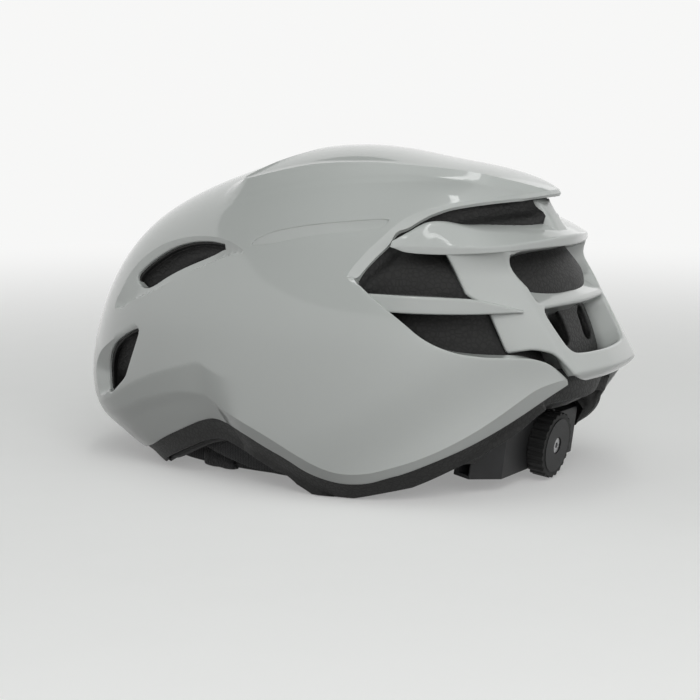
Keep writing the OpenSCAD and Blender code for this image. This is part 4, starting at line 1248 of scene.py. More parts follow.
@dataclass
class Liner:
    """Foam liner under the shell, with air channels inside and room for the cradle at the nape.

    Behind the notch the foam lies behind_notch off the cavity and behind_top more at its top, and it dips
    by dip under the notch's edge. The channels lie at the angles in channels. The room behind the nape
    reaches back to room_y at the places room_x to the side. duct holds x, the two heights and the radius
    of the rear ducts. The grid runs over the crown between the two angles in over
    and to the sides up to the angle across.
    """

    gap: float = 0.35
    behind_notch: float = 14.0
    behind_top: float = 8.0
    dip: float = 7.0
    channels: tuple[float, ...] = (-25.5, 0.0, 25.5)
    room_x: tuple[float, ...] = (0, 18, 20, 41, 43, 58, 62)
    room_y: tuple[float, ...] = (114, 114, 105.5, 105.5, 104, 94, 60)
    channel_depth: float = 6.0
    channel_half: float = 6.5
    duct: tuple[float, float, float, float] = (20.0, 76.0, 102.0, 8.0)
    over: tuple[float, float] = (8.5, 166.5)
    across: float = 77.5
    columns: int = 190
    rows: int = 220

    def outer(self, a: Array, g: Array, shell: Shell) -> Array:
        """Outer surface: under the shell, and behind the notch at an even distance from the cavity.

        Args:
            a: degrees over the crown.
            g: degrees to the side.
            shell: the shell over it.

        Returns:
            Points of the surface.
        """
        base = SHELL_DOME.point(a, g)
        cut = VENTS.in_notch(base)
        dip = self.dip * smooth(cut, -6, -1.5)
        under = SHELL_DOME.point(a, g, shell.relief(base) + shell.skin + self.gap + dip)
        back = HEAD_DOME.point(a, g, -self.behind_notch - self.behind_top * smooth(base[..., 2], 98, 118))
        share = smooth(cut, 0.5, 5)[..., None]
        p = under + share * (back - under)
        p[..., 2] = np.maximum(p[..., 2], 0)
        return p

    def inner(self, a: Array, g: Array) -> Array:
        """Head cavity: its dome, the channels as round-bottomed grooves, and the room behind the nape.

        Args:
            a: degrees over the crown.
            g: degrees to the side.

        Returns:
            Points of the cavity.
        """
        grooves = sum(np.maximum(1 - ((g - middle) * ARC / self.channel_half) ** 2, 0) ** 0.5
                      for middle in self.channels)
        window = smooth(a, 32, 40) * (1 - smooth(a, 126, 134))
        p = HEAD_DOME.point(a, g, -self.channel_depth * grooves * window)
        x, y, z = np.abs(p[..., 0]), p[..., 1], p[..., 2]
        room = np.interp(x, self.room_x, self.room_y)
        low = 1 - smooth(z, 45, 49)
        p[..., 1] = np.where(y > 60, np.maximum(y, room * low), y)
        p[..., 2] = np.maximum(z, 0)
        return p

    def keep(self, a: Array, g: Array, shell: Shell) -> Array:
        """Clearance from the lower edge, the vents and the two rear ducts.

        Args:
            a: degrees over the crown.
            g: degrees to the side.
            shell: the shell over it.

        Returns:
            Distances, negative where the foam is cut away.
        """
        p = shell.seen(a, g)
        x, z, r = np.abs(p[..., 0]), p[..., 2], self.duct
        duct = r[3] - np.hypot(x - r[0], z - np.clip(z, r[1] + r[3], r[2] - r[3]))
        duct = np.where(p[..., 1] > 60, duct, OUTSIDE)
        return np.minimum.reduce([-VENTS.below_foam(p), -VENTS.openings(p) - 1.6, -duct])

    def build(self, shell: Shell) -> bpy.types.Object:
        """The liner as one closed solid, cut off level at the bottom.

        Args:
            shell: the shell over it.

        Returns:
            The piece, in place of the CAD liner.
        """
        a = np.linspace(*self.over, self.rows)
        g = np.linspace(-self.across, self.across, self.columns)
        sheet, u, v = trimmed(lambda u, v: self.outer(v, u, shell), lambda u, v: self.keep(v, u, shell), [],
                              g, a)
        solid = walled(sheet, self.inner(v, u), even_edge(0.7, 2.0), steps=3)
        solid.points[:, 2] = np.maximum(solid.points[:, 2], 0)
        return make_object("foam_liner", solid, "helmet", "foam", ["eps_liner"])


@dataclass
class RearFrame:
    """Gloss frame in the notch: leaning side panels, rear face with two openings, wing, rib and blades.

    low and high hold x and y of the front edge, the ridge and the middle at the two heights in span, and
    ends holds the heights of the panels' lower and upper end. flare holds how far they flare out at the
    ridge and at the front, and the heights between which they do. front_y is where the front edges lie at
    the heights front_z. gap_more is what the gap to the shell's tail has over gap, at the places gap_at
    across the line of sight.
    """

    low: tuple[tuple[float, float], ...] = ((49, 107), (36.5, 134.5), (0, 138.6))
    high: tuple[tuple[float, float], ...] = ((60, 80), (41, 101), (0, 106.5))
    span: tuple[float, float] = (58.0, 112.0)
    ends: tuple[float, float] = (52.6, 114.3)
    thickness: float = 2.6
    opening_depth: float = 14.0
    flare: tuple[float, float, float, float] = (1.6, 6.4, 101.0, 113.0)
    bar_lean: float = 7.5
    gap: float = 2.7
    gap_at: tuple[float, ...] = (70, 79.7, 92, 102.5, 110.9, 118)
    gap_more: tuple[float, ...] = (0, 1.1, 3.4, 3.9, 2.8, 2.0)
    front_z: tuple[float, ...] = (52, 67, 87, 91, 94, 112, 118)
    front_y: tuple[float, ...] = (109, 106.5, 98.2, 94, 89.3, 81.5, 80)
    upper: Array = field(default_factory=lambda: softened(
        [(-44.5, 112), (-38, 112), (38, 112), (44.5, 112), (39.3, 96.2), (35, 95.5), (-35, 95.5),
         (-39.3, 96.2)], rounds=2))
    lower: Array = field(default_factory=lambda: softened(
        [(-36, 87), (-28, 87.3), (28, 87.3), (36, 87), (34.5, 76), (31.5, 67), (22, 65.2), (-22, 65.2),
         (-31.5, 67), (-34.5, 76)], rounds=2))
    notch: Array = field(default_factory=lambda: np.stack(across_sight(np.column_stack(
        [SHELL_DOME.side(*VENTS.notch.T), VENTS.notch])), axis=-1))

    def share(self, z: Array) -> Array:
        """Share of the way from low to high at a height."""
        return (np.maximum(z, self.span[0]) - self.span[0]) / (self.span[1] - self.span[0])

    def raw(self, s: Array, z: Array) -> Array:
        """Panels before their ridge is rounded.

        Up to |s| = 1 the rear face runs from its middle to the ridge as |s| to the power 1.6, and from
        there a flat side panel runs forward to |s| = 2. Both lean with the height. Under the wing the
        panels flare out in a parabola to meet its edge.

        Args:
            s: place along the plan, negative on the right side.
            z: height.

        Returns:
            Points, shaped as s with one more axis.
        """
        t = self.share(z)
        e, r, m = (np.asarray(l)[:, None] + (np.asarray(h) - np.asarray(l))[:, None] * t.ravel()
                   for l, h in zip(self.low, self.high))
        w = np.abs(s).ravel()
        rear = np.stack([r[0] * w, m[1] + (r[1] - m[1]) * w ** 1.6])
        side = r + (e - r) * (w - 1)
        plan = np.where(w <= 1, rear, side)
        away = (r - e)[::-1] * [[-1.0], [1.0]]
        away = away / np.linalg.norm(away, axis=0)
        far, near, foot, top = self.flare
        reach = (near + (far - near) * ramp(w, 1, 2)) * smooth(w, 0.55, 1.0) * ramp(z.ravel(), foot, top) ** 2
        plan = plan + np.abs(away) * reach
        shrink = ramp(self.span[0] - z.ravel(), 0, 6) ** 2
        return np.stack([plan[0] * (1 - 0.06 * shrink), plan[1] - 5 * shrink, z.ravel()],
                        axis=-1).reshape(s.shape + (3,))

    def place(self, s: Array, z: Array) -> Array:
        """Panels with a rounded ridge: the mean over five nearby s, times the side's sign.

        Args:
            s: place along the plan, negative on the right side.
            z: height.

        Returns:
            Points, shaped as s with one more axis.
        """
        total = 0.0
        for shift in (-0.09, -0.045, 0, 0.045, 0.09):
            total = total + 0.2 * self.raw(np.abs(np.abs(s) + shift), z)
        total[..., 0] *= np.where(s < 0, -1, 1)
        return total

    def keep(self, s: Array, z: Array) -> Array:
        """Clearance from the notch's lower edge, the front edges, the bottom and both openings.

        The notch is measured across the line of sight, where the gap to the shell's tail is widest at its
        middle.

        Args:
            s: place along the plan.
            z: height.

        Returns:
            Distances, negative where the panels are cut away.
        """
        p = self.place(s, z)
        x, y = p[..., 0], p[..., 1]
        right, up = across_sight(p)
        more = np.interp(right, self.gap_at, self.gap_more) * (1 - smooth(up, 10, 25))
        within = inside(right, up, self.notch) - self.gap - more
        front = (y - np.interp(z, self.front_z, self.front_y)) * 0.9
        hole = np.where(np.abs(s) < 1.2, np.maximum(inside(x, z, self.upper), inside(x, z, self.lower)),
                        OUTSIDE)
        return np.minimum.reduce([within, np.where(np.abs(s) > 1.2, front, 9.0), z - self.ends[0],
                                  self.ends[1] - z, -hole - 0.8])

    def edge(self, p: Array) -> Edge:
        """Deep walls inside the openings and a plain thickness elsewhere.

        Args:
            p: points of the border.

        Returns:
            The rounding and the wall's depth and return.
        """
        hole = np.maximum(inside(p[:, 0], p[:, 2], self.upper), inside(p[:, 0], p[:, 2], self.lower))
        deep = (np.abs(hole) < 3.5) & (p[:, 1] > 90)
        return Edge(np.where(deep, 1.6, 1.2), np.where(deep, self.opening_depth, self.thickness + 1.2),
                    np.where(deep, 2.2, 1.4))

    def panels(self) -> Skin:
        """Side panels and rear face in one piece.

        Returns:
            The closed skin, with the bar leaning forward.
        """
        s = np.unique(np.concatenate([np.linspace(*part) for part in (
            (-2, -1.15, 22), (-1.15, -0.85, 18), (-0.85, 0.85, 70), (0.85, 1.15, 18), (1.15, 2, 22))]))
        z = np.linspace(52, 118, 74)
        sheet, _, _ = trimmed(self.place, self.keep, [], s, z, fold=True)
        skin = walled(sheet, sheet.points - sheet.normals() * self.thickness, self.edge)
        skin.points[:, 1] -= self.lean(skin.points)
        return skin

    def lean(self, p: Array) -> Array:
        """How far the bar between the openings leans forward, with the openings' walls left level.

        It is a ramp over the bar's height that fades out towards the ridges.

        Args:
            p: points on the panels.

        Returns:
            The shift of each point in mm.
        """
        ridge = self.low[1][0] + (self.high[1][0] - self.low[1][0]) * self.share(p[:, 2])
        return self.bar_lean * ramp(p[:, 2], 88.2, 95.2) * (1 - ramp(p[:, 2], 98, 112)) * (
            1 - smooth(np.abs(p[:, 0]) / ridge, 0.86, 0.97))

    def wing(self) -> Skin:
        """Upper lip: blade sections from one side's tip over the middle to the other's.

        Returns:
            The closed skin.
        """
        trail = np.array([[71.3, 57, 115.1], [68.5, 63.5, 113.9], [64, 74, 113.4], [58.5, 86.5, 113.4],
                          [48, 102.5, 114.0], [24, 112, 115.0], [0, 116, 115.3]])
        front = np.array([[70.3, 58, 116.2], [63, 63, 120.6], [57, 68.5, 124], [51, 74.5, 124.6],
                          [43, 83, 123.2], [20, 93, 122.8], [0, 95, 123]])
        thick = np.array([0.8, 3.6, 4.4, 4.2, 3.4, 4.2, 5.0])
        both = [np.concatenate([t, t[-2::-1] * [-1, 1, 1]]) for t in (trail, front)]
        both.append(np.concatenate([thick, thick[-2::-1]])[:, None])
        return blade_skin(*(curve(b, 145) for b in both), bulge=1.6, radius=0.9)

    def blade(self) -> Skin:
        """Side blade: from the notch's apex back to its pointed nose on the side panel.

        Returns:
            The closed skin of the left one.
        """
        trail = np.array([[80.5, 47, 90.4], [81, 56, 90.2], [77.5, 70, 89.6], [69.5, 84, 89.0],
                          [58.5, 97, 88.0], [44.5, 112, 85.5]])
        front = np.array([[74, 47, 90.4], [68, 54, 90.2], [60, 66, 89.6], [55, 76, 89.0], [48, 90, 88.0],
                          [42.2, 110.5, 85.5]])
        thick = np.array([7.4, 7.8, 8.0, 7.8, 6.4, 0.8])[:, None]
        return blade_skin(*(curve(b, 81) for b in (trail, front, thick)), bulge=0.3, radius=0.9)

    def rib(self) -> Skin:
        """Rib between the wing and the shell's lip, a rounded box whose section leans forward upwards.

        Returns:
            The closed skin.
        """
        z, turn = np.linspace(0, 1, 14), circle(32)
        squircle = signed_power(np.stack([np.cos(turn), np.sin(turn)], axis=-1), 0.45)
        half_x = 6.0 + 3.5 * (1 - z) ** 4 + 2.0 * z ** 5
        back = 114 - 12.5 * z
        depth = 16 + 2 * (1 - z)
        rings = np.stack([half_x[:, None] * squircle[None, :, 0],
                          (back - depth / 2)[:, None] + (depth / 2)[:, None] * squircle[None, :, 1],
                          np.broadcast_to((116.5 + 17.6 * z)[:, None], (14, 32))], axis=-1)
        return loft(rings)

    def build(self) -> list[bpy.types.Object]:
        """Panels, wing, rib and both blades.

        Returns:
            The pieces; the panels stand for the CAD frame.
        """
        blade = self.blade()
        skins = {"rear_panels": self.panels(), "rear_wing": self.wing(), "wing_rib": self.rib(),
                 "side_blade_left": blade, "side_blade_right": mirrored(blade)}
        return [make_object(name, skin, "helmet", "frame_gloss",
                            ["rear_shell"] if name == "rear_panels" else []) for name, skin in skins.items()]


def blade_skin(trail: Array, front: Array, thick: Array, bulge: float, radius: float,
               count: int = 12) -> Skin:
    """Blade lofted between a trailing and a front line.

    Each section runs along the top from front to trail with a parabola's bulge, down a trailing face with
    a quarter circle at its two corners, and back below; the front is half as thick and round.

    Args:
        trail: middle of the trailing edge at each station.
        front: middle of the front edge.
        thick: thickness at each station, one column.
        bulge: height of the parabola.
        radius: radius of the trailing corners.
        count: points along the top.

    Returns:
        The closed blade.
    """
    up = np.array([0, 0, 1.0])
    t = np.linspace(0, 1, count)[None, :, None]
    half = thick[:, None] / 2
    r = np.minimum(radius, half * 0.95)
    out = unit(trail - front)[:, None]
    chord = (trail - front)[:, None] - out * r
    lift = half * (0.62 + 0.38 * t)
    top = front[:, None] + chord * t + up * (lift + bulge * 4 * t * (1 - t) ** 1.2)
    low = (front[:, None] + chord * t - up * lift)[:, ::-1]
    turn = np.linspace(0, math.pi / 2, 6)[1:-1][None, :, None]
    heel = trail[:, None] - out * r
    upper = heel + out * np.sin(turn) * r + up * (half - r + np.cos(turn) * r)
    lower = heel + out * np.cos(turn) * r - up * (half - r + np.sin(turn) * r)
    face = np.linspace(1, -1, 5)[None, :, None]
    flat = heel + out * r + up * (half - r) * face
    turn = np.linspace(0, math.pi, 7)[1:-1][None, :, None]
    tail = front[:, None] - out * np.sin(turn) * half * 0.4 - up * np.cos(turn) * half * 0.62
    return loft(np.concatenate([top, upper, flat, lower, low, tail], axis=1))


# Soft pieces

@dataclass(frozen=True)
class Strap:
    """Flat strap along a route, on edge: its width stands upright and its thickness lies level."""

    name: str
    route: Route
    body: str
    slot: str
    width: float = 15.0
    thick: float = 1.5
    step: float = 1.2
    arc: int = 7

    def path(self, side: Side) -> Array:
        """Route with softened corners, as evenly spaced points.

        Args:
            side: the wearer's side.

        Returns:
            Points about one step apart.
        """
        line = softened(self.route, closed=False, rounds=3) * [side.value, 1, 1]
        length = lengths(line)
        at = np.linspace(0, length[-1], int(length[-1] / self.step) + 2)
        return np.stack([np.interp(at, length, line[:, k]) for k in range(3)], axis=1)

    def profile(self) -> Array:
        """Two straight faces joined by half circles.

        Returns:
            Offsets across the thickness and the width.
        """
        turn = np.linspace(0, math.pi, self.arc)
        r, flat = self.thick / 2, self.width / 2 - self.thick / 2
        top = np.stack([r * np.cos(turn), flat + r * np.sin(turn)], axis=1)
        faces = np.linspace(flat, -flat, 6)[1:-1]
        right = np.stack([np.full(4, -r), faces], axis=1)
        return np.concatenate([top, right, -top, -right])

    def build(self, side: Side) -> bpy.types.Object:
        """The strap, with a UV map in metres: first along it, then round it.

        Args:
            side: the wearer's side.

        Returns:
            The piece, which stands for the CAD strap of that side.
        """
        path, profile = self.path(side), self.profile()
        run = unit(np.gradient(path, axis=0) * [1, 1, 0])
        level = np.stack([-run[:, 1], run[:, 0], np.zeros(len(run))], axis=1)
        rings = path[:, None] + level[:, None] * profile[None, :, :1] + profile[None, :, 1:] * [0, 0, 1]
        node = f"{self.name}_{side.word}"
        skin = loft(rings)
        piece = make_object(node + "_woven", skin, self.body, self.slot, [node])
        m, k = len(path), len(profile)
        along, round_it = lengths(path) * MM, lengths(np.vstack([profile, profile[:1]])) * MM
        i, j = np.meshgrid(np.arange(m - 1), np.arange(k), indexing="ij")
        quads = np.stack([np.stack([along[i + di], round_it[j + dj]], axis=-1)
                          for di, dj in ((0, 0), (0, 1), (1, 1), (1, 0))], axis=2)
        caps = np.zeros((len(skin.tris) * 3, 2))
        layer = piece.data.uv_layers.new(name="cloth")
        layer.data.foreach_set("uv", np.concatenate([quads.reshape(-1, 2), caps]).ravel())
        return piece


@dataclass(frozen=True)
class Harness:
    """Webbing of both sides, the belts of the fit system and the sleeve on the chin webbing.

    front, rear, chin and belt are routes on the left side. buckle holds y and z of the buckle, and
    buckle_ends x of the left and the right webbing's end in it. in_dial holds x, and y from the dial, of
    the belts' last stretch, and belt_up how far they lie over and under its middle. dial holds y and z of
    the dial, belt_size a belt's width and thickness, and sleeve the chin sleeve's length, wall and gap.
    """

    front: Route = ((64.5, -60, 25), (69.5, -42, 18), (71.5, -18, 12), (72.3, 4, 10.5), (72.3, 16, 10.5))
    rear: Route = ((61.5, 71, 45), (65.8, 61, 34), (70, 50, 23), (71.8, 41, 14), (72.3, 36, 10.5))
    chin: Route = ((67.9, 16, 10.5), (66, 0, 9.5), (63, -30, 9.5), (56, -58, 9.5), (45, -80, 9.5))
    buckle: tuple[float, float] = (-93.0, 9.5)
    buckle_ends: tuple[float, float] = (30.0, 14.3)
    belt: Route = ((63.4, -26.1, 41.3), (66, -5, 37), (67.5, 20, 31), (66.5, 44, 25), (62, 68, 19.5))
    in_dial: Route = ((57, -15.8), (53, -14), (41, -6), (32.2, -5))
    belt_up: float = 3.65
    belt_size: tuple[float, float] = (10.0, 1.5)
    dial: tuple[float, float] = (101.0, 17.5)
    lean: float = math.radians(8)
    sleeve: tuple[float, float, float] = (22.0, 1.0, 0.3)

    def chin_route(self, side: Side) -> Route:
        """Chin webbing down to its half of the buckle."""
        end = self.buckle_ends[0 if side is Side.LEFT else 1]
        return (*self.chin, (end + 9, *self.buckle), (end + 0.3, *self.buckle))

    def belt_route(self, side: Side) -> Route:
        """Belt from the temple link into the dial's housing, where one belt lies over the other.

        Args:
            side: the wearer's side.

        Returns:
            The route's corners.
        """
        up, tilt = side.value * self.belt_up, self.lean
        inner = tuple((x, self.dial[0] + y * math.cos(tilt) + up * math.sin(tilt),
                       self.dial[1] - y * math.sin(tilt) + up * math.cos(tilt)) for x, y in self.in_dial)
        return (*self.belt, *inner)

    def webbing(self) -> list[bpy.types.Object]:
        """The six webbings; the right chin webbing rides on no body.

        Returns:
            The pieces.
        """
        made = []
        for side in Side:
            for name, route in (("front_strap", self.front), ("rear_strap", self.rear),
                                ("chin_strap", self.chin_route(side))):
                follows = name == "chin_strap" and side is Side.RIGHT
                made.append(Strap(name, route, "" if follows else "helmet", "webbing").build(side))
        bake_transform(made[-1], "helmet", "buckle", start=self.metres((-66, 0, 9.5)),
                 end=self.metres((-24, *self.buckle)))
        return made

    def belts(self) -> list[bpy.types.Object]:
        """The two belts, which ride on no body.

        Returns:
            The pieces.
        """
        made = []
        for side in Side:
            belt = Strap("belt", self.belt_route(side), "", "cradle_plastic", *self.belt_size).build(side)
            "rack_" + side.word
            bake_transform(belt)
            made.append(belt)
        return made

    @staticmethod
    def metres(point: Sequence[float]) -> tuple[float, ...]:
        """Point of the drawing's frame in the row's metres."""
        return tuple(float(c) for c in (np.asarray(point, float) + [0, MIDDLE_Y, 0]) * MM)

    def chin_pad(self) -> bpy.types.Object:
        """Padded sleeve round the left chin webbing.

        Its wall is an oval in length and thickness, crowned outward, swept round the webbing's section.

        Returns:
            The sleeve, which stands for the CAD's.
        """
        length, wall, gap = self.sleeve
        a, b = (np.array(self.chin[k], float) for k in (2, 3))
        along = unit((b - a) * [1, 1, 0])
        level, up = np.array([-along[1], along[0], 0]), np.array([0, 0, 1.0])
        part = circle(28)
        s = signed_power(np.cos(part), 0.6) * length / 2
        channels = sum(np.exp(-((s - c) / 0.9) ** 2) for c in (-5.5, 0.0, 5.5))
        crown = 0.45 + 0.35 * (1 - (2 * s / length) ** 2) - 0.4 * channels
        r = np.where(np.sin(part) > 0, crown, 0.5) * np.sin(part)
        base = gap + wall / 2
        rings = []
        for t in circle(56):
            c = signed_power(np.array([math.cos(t), math.sin(t)]), 0.25)
            flat, tall = 0.75 + base + r * wall, 7.5 + base + r * wall
            rings.append((a + b) / 2 + along * s[:, None] + level * (c[0] * flat)[:, None]
                         + up * (c[1] * tall)[:, None])
        skin = outward(loft(np.array(rings), closed_path=True))
        piece = make_object("chin_pad_knit", skin, "helmet", "pad_fabric", ["chin_pad"])
        return piece


@dataclass(frozen=True)
class Pad:
    """One fit pad: foam in a knit cover, welded down in channels at places along one axis, in metres."""

    node: str
    body: str
    axis: int
    channels: tuple[float, ...]


@dataclass(frozen=True)
class Padding:
    """Fit pads, swollen from the CAD pads' forms by a cloth simulation."""

    pads: tuple[Pad, ...] = (
        Pad("brow_pad", "helmet", 0, (-0.045, -0.03, -0.015, 0.0, 0.015, 0.03, 0.045)),
        Pad("crown_pad_left", "helmet", 1, (-0.04, -0.018, 0.004, 0.026)),
        Pad("crown_pad_right", "helmet", 1, (-0.04, -0.018, 0.004, 0.026)),
        Pad("crown_pad_centre", "helmet", 0, (-0.02, 0.0, 0.02)),
        Pad("side_pad_left", "helmet", 1, (0.006, 0.022)),
        Pad("side_pad_right", "helmet", 1, (0.006, 0.022)),
        Pad("nape_pad_left", "cradle", 0, (0.026,)),
        Pad("nape_pad_right", "cradle", 0, (-0.026,)))
    voxel: float = 0.002
    cap: float = 0.0016
    pressure: float = 4.0
    frames: int = 20
    channel_depth: float = 0.0011
    channel_width: float = 0.0013
    centre: tuple[float, float, float] = (0.0, 0.0078, -0.01)

    @staticmethod
    def baked(piece: bpy.types.Object) -> bpy.types.Mesh:
        """Mesh of a piece with its modifiers."""
        graph = bpy.context.evaluated_depsgraph_get()
        return bpy.data.meshes.new_from_object(piece.evaluated_get(graph))

    @staticmethod
    def read(mesh: bpy.types.Mesh, what: str) -> Array:
        """Reads one vector for each of a mesh's points.

        Args:
            mesh: the mesh.
            what: "co" for the coordinates or "normal".

        Returns:
            The vectors as rows.
        """
        values = np.zeros(len(mesh.vertices) * 3)
        mesh.vertices.foreach_get(what, values)
        return values.reshape(-1, 3)

    def towards_foam(self, mesh: bpy.types.Mesh) -> Array:
        """Cosine between each point's normal and its direction from the middle of the head."""
        away = unit(self.read(mesh, "co") - self.centre)
        return (away * self.read(mesh, "normal")).sum(axis=1)

    def start(self, pad: Pad, node: bpy.types.Object) -> bpy.types.Object:
        """Copy of the pad's CAD form, remeshed evenly and smoothed, which draws it in a little.

        Args:
            pad: the pad.
            node: its CAD object.

        Returns:
            The piece with a cloth on it whose side to the foam is held.
        """
        piece = bpy.data.objects.new(pad.node + "_knit", node.data.copy())
        bpy.context.scene.collection.objects.link(piece)
        even = piece.modifiers.new("even", "REMESH")
        even.mode, even.voxel_size = "VOXEL", self.voxel
        relax = piece.modifiers.new("relax", "SMOOTH")
        relax.factor, relax.iterations = 0.5, 5
        mesh = self.baked(piece)
        piece.modifiers.clear()
        piece.data = mesh
        held = piece.vertex_groups.new(name="held")
        held.add(np.nonzero(self.towards_foam(mesh) > 0.2)[0].tolist(), 1.0, "REPLACE")
        cloth = piece.modifiers.new("cloth", "CLOTH")
        settings = cloth.settings
        settings.vertex_group_mass, settings.quality = "held", 4
        settings.use_pressure, settings.uniform_pressure_force = True, self.pressure
        settings.effector_weights.gravity = 0
        cloth.point_cache.frame_start, cloth.point_cache.frame_end = 1, self.frames
        return piece

    def finish(self, pad: Pad, piece: bpy.types.Object) -> None:
        """Args:
            pad: the pad.
            piece: its piece, at the last frame of the simulation.
        """
        mesh = piece.data
        start = self.read(mesh, "co")
        move = self.read(self.baked(piece), "co") - start
        length = np.linalg.norm(move, axis=1, keepdims=True)
        points = start + move * np.minimum(1, self.cap / np.maximum(length, 1e-9))
        facing = self.towards_foam(mesh)
        welds = sum(np.exp(-((points[:, pad.axis] - c) / self.channel_width) ** 2) for c in pad.channels)
        press = self.channel_depth * np.clip(welds, 0, 1) * np.clip(-facing, 0, 1)
        points += unit(points - self.centre) * press[:, None]
        mesh.vertices.foreach_set("co", points.ravel())
        mesh.polygons.foreach_set("use_smooth", np.ones(len(mesh.polygons), bool))
        mesh.update()
        piece.modifiers.clear()
        finer = piece.modifiers.new("finer", "SUBSURF")
        finer.levels = finer.render_levels = 1
        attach(piece, pad.body)
        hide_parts(pad.node)

    def build(self, nodes: dict[str, bpy.types.Object]) -> list[bpy.types.Object]:
        """All the pads, simulated together.

        Args:
            nodes: the CAD objects by name.

        Returns:
            The pieces.
        """
        pieces = [self.start(pad, nodes[pad.node]) for pad in self.pads]
        for frame in range(1, self.frames + 1):
            bpy.context.scene.frame_set(frame)
        for pad, piece in zip(self.pads, pieces):
            self.finish(pad, piece)
        bpy.context.scene.frame_set(1)
        return pieces


# Scene

@dataclass(frozen=True)
class Lamp:
    """Rectangular area lamp aimed at the helmet.

    place is in metres, size holds its sides, of which the second one runs along Y, and shows says whether
    gloss mirrors it.
    """

    name: str
    place: tuple[float, float, float]
    size: tuple[float, float]
    watts: float
    shows: bool = False


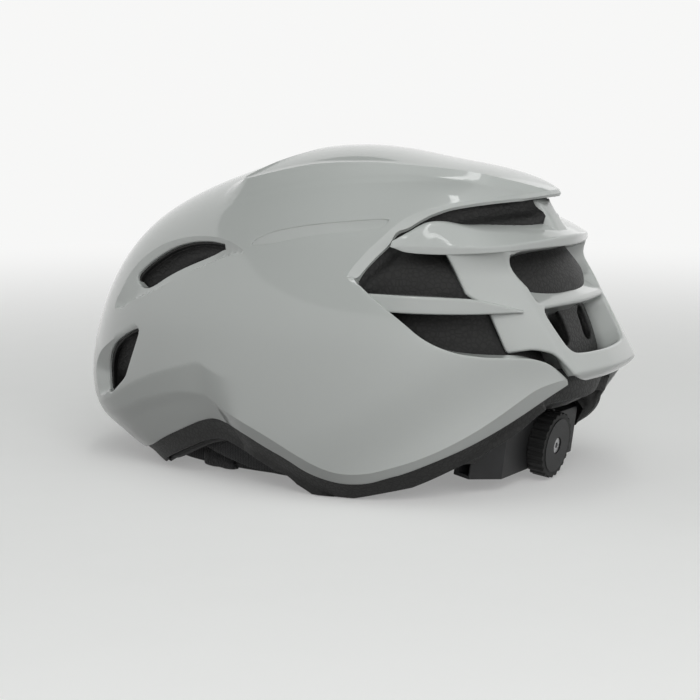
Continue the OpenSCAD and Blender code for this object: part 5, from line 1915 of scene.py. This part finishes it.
@dataclass(frozen=True)
class Studio:
    """Camera at the photograph's angle, soft lamps and a pale floor.

    floor_colour is what the camera sees and bounce what light on the object meets. The sky brightens
    within sky_range towards the direction bright, and the floor's glow grows within glow_range from its
    least share.
    """

    target: tuple[float, float, float] = (0.0, -0.0023, 0.0545)
    camera: tuple[float, float, float] = (0.8576, 0.4928, 0.1937)
    lens: float = 101.6
    floor_colour: tuple[float, float, float] = (0.93, 0.93, 0.92)
    bounce: float = 0.16
    bright: tuple[float, float, float] = (0.45, 0.4, 0.8)
    sky_range: tuple[float, float] = (0.17, 0.44)
    sky_colour: tuple[float, float, float] = (0.94, 1.0, 0.965)
    glow_colour: tuple[float, float, float] = (0.93, 0.93, 0.925)
    glow_least: float = 0.3
    glow_range: tuple[float, float] = (0.2, 1.3)
    lamps: tuple[Lamp, ...] = (
        Lamp("key", (0.95, 0.75, 0.75), (0.9, 0.9), 9.0),
        Lamp("ridge strip", (-0.75, -0.1, 1.1), (0.25, 3.0), 0.8, shows=True),
        Lamp("edge strip", (0.2, 0.1, 1.5), (0.07, 1.8), 1.6, shows=True),
        Lamp("front", (0.2, -1.35, 0.8), (0.9, 0.9), 2.2),
        Lamp("rear", (0.35, 1.45, 0.4), (0.9, 0.9), 2.8))

    def hang(self, name: str, data: bpy.types.ID, place: Sequence[float]) -> bpy.types.Object:
        """Hangs a camera or a lamp in the scene, aimed at the helmet.

        Args:
            name: its name.
            data: the camera or the lamp.
            place: where it hangs, in metres.

        Returns:
            Its object.
        """
        made = bpy.data.objects.new(name, data)
        bpy.context.scene.collection.objects.link(made)
        made.location = place
        way = mathutils.Vector(self.target) - made.location
        made.rotation_euler = way.to_track_quat("-Z", "Y").to_euler()
        return made

    def light(self, lamp: Lamp) -> None:
        """Adds one lamp.

        Args:
            lamp: the lamp.
        """
        data = bpy.data.lights.new(lamp.name, "AREA")
        data.shape = "RECTANGLE"
        data.energy, data.size, data.size_y = lamp.watts, *lamp.size
        self.hang(lamp.name, data, lamp.place).visible_glossy = lamp.shows

    def build(self) -> None:
        """Camera, lamps, world and floor."""
        data = bpy.data.cameras.new("camera")
        data.lens, data.sensor_width = self.lens, 36.0
        data.clip_start, data.clip_end = 0.01, 50.0
        bpy.context.scene.camera = self.hang("camera", data, self.camera)
        bpy.context.scene.view_settings.view_transform = "Standard"
        for lamp in self.lamps:
            self.light(lamp)
        self.sky()
        self.floor()

    def sky(self) -> None:
        """World that is dim at the horizon and brightens softly towards a point high on the camera's side.

        Its strength grows with the cosine of the angle to that point, smoothly and only where it is positive.
        """
        world = bpy.data.worlds.new("studio")
        bpy.context.scene.world = world
        world.use_nodes = True
        tree = world.node_tree
        way = tree.nodes.new("ShaderNodeTexCoord")
        dot = tree.nodes.new("ShaderNodeVectorMath")
        dot.operation = "DOT_PRODUCT"
        dot.inputs[1].default_value = self.bright
        ramp_node = tree.nodes.new("ShaderNodeMapRange")
        ramp_node.interpolation_type = "SMOOTHSTEP"
        for socket, value in zip(ramp_node.inputs[1:5], (0.0, 1.0, *self.sky_range)):
            socket.default_value = value
        tree.links.new(way.outputs["Generated"], dot.inputs[0])
        tree.links.new(dot.outputs["Value"], ramp_node.inputs[0])
        tree.links.new(ramp_node.outputs[0], tree.nodes["Background"].inputs[1])
        tree.nodes["Background"].inputs[0].default_value = (*self.sky_colour, 1)

    def floor(self) -> None:
        """Floor that curves up into a backdrop all round, far out."""
        turn = circle(96)
        radius = np.array([0.0001, 0.5, 1.5, 3.0, 4.0, 4.6, 4.9, 5.0])
        height = np.array([0, 0, 0, 0, 0.06, 0.4, 1.2, 4.0]) - 0.0005
        rings = np.stack([radius[:, None] * np.cos(turn), radius[:, None] * np.sin(turn),
                          np.broadcast_to(height[:, None], (8, 96))], axis=-1)
        skin = loft(rings, capped=False)
        mesh = bpy.data.meshes.new("floor")
        mesh.from_pydata(skin.points.tolist(), [], skin.quads[:, ::-1].tolist())
        mesh.polygons.foreach_set("use_smooth", np.ones(len(mesh.polygons), bool))
        floor = bpy.data.objects.new("floor", mesh)
        bpy.context.scene.collection.objects.link(floor)
        paint = Paint("floor")
        place = paint.object_place()
        grain = paint.noise(place, 30.0, 3.0)
        x, y = paint.axis(place, 0), paint.axis(place, 1)
        far = self.glow_least + (1 - self.glow_least) * ((x * x + y * y) ** 0.5).steps(*self.glow_range)
        camera, glossy, clear = (paint.node("ShaderNodeLightPath", {}, {}, f"Is {kind} Ray")
                                 for kind in ("Camera", "Glossy", "Transmission"))
        shown = (camera + glossy + clear).clamped()
        paint.set(Roughness=0.85, Base_Color=paint.tint(shown * (0.97 + 0.03 * grain), (self.bounce,) * 3,
                                                        self.floor_colour))
        glow = paint.node("ShaderNodeEmission", {}, {"Color": (*self.glow_colour, 1.0), "Strength": 1.0})
        surface = Socket(paint, paint.shader.outputs[0])
        mixed = paint.node("ShaderNodeMixShader", {}, {0: far * shown, 1: surface, 2: glow})
        output = next(n for n in paint.tree.nodes if n.type == "OUTPUT_MATERIAL")
        paint.tree.links.new(mixed.socket, output.inputs[0])
        mesh.materials.append(paint.material)


def dress(things: Sequence[bpy.types.Object], material: bpy.types.Material) -> None:
    """Gives pieces or CAD nodes one material in place of all that they have, and reports each.

    Args:
        things: the objects.
        material: their new material.
    """
    for thing in things:
        thing.data.materials.clear()
        thing.data.materials.append(material)
        LOG.info("%s: %d faces, %s", thing.name, len(thing.data.polygons), material.name)


def main() -> None:
    """Builds the helmet round its frame and dresses it."""
    logging.basicConfig(level=logging.INFO, format="%(name)s: %(message)s")
    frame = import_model()
    nodes = frame["nodes"]
    Studio().build()
    gloss, foam = GlossPaint().make(), BeadFoam().make()
    webbing, knit = Webbing().make(), Knit().make()
    black = Moulding("moulded_black").make()
    rubber = Moulding("soft_rubber", (0.012, 0.012, 0.012), 0.6, 0.5).make()
    steel = Steel().make()
    shell, harness = Shell(), Harness()
    dress([shell.build(), shell.floor(Side.LEFT), shell.floor(Side.RIGHT)], gloss)
    dress([Liner().build(shell)], foam)
    dress(RearFrame().build(), gloss)
    dress(harness.webbing(), webbing)
    dress(harness.belts(), black)
    dress([harness.chin_pad()], knit)
    dress(Padding().build(nodes), knit)
    for name, node in nodes.items():
        if name in ("dial_grip", "strap_keeper"):
            dress([node], rubber)
        elif name in ("click_spring", "dial_screw"):
            dress([node], steel)
        elif name not in ("outer_shell", "eps_liner", "rear_shell"):
            dress([node], black)


if __name__ == "__main__":
    main()
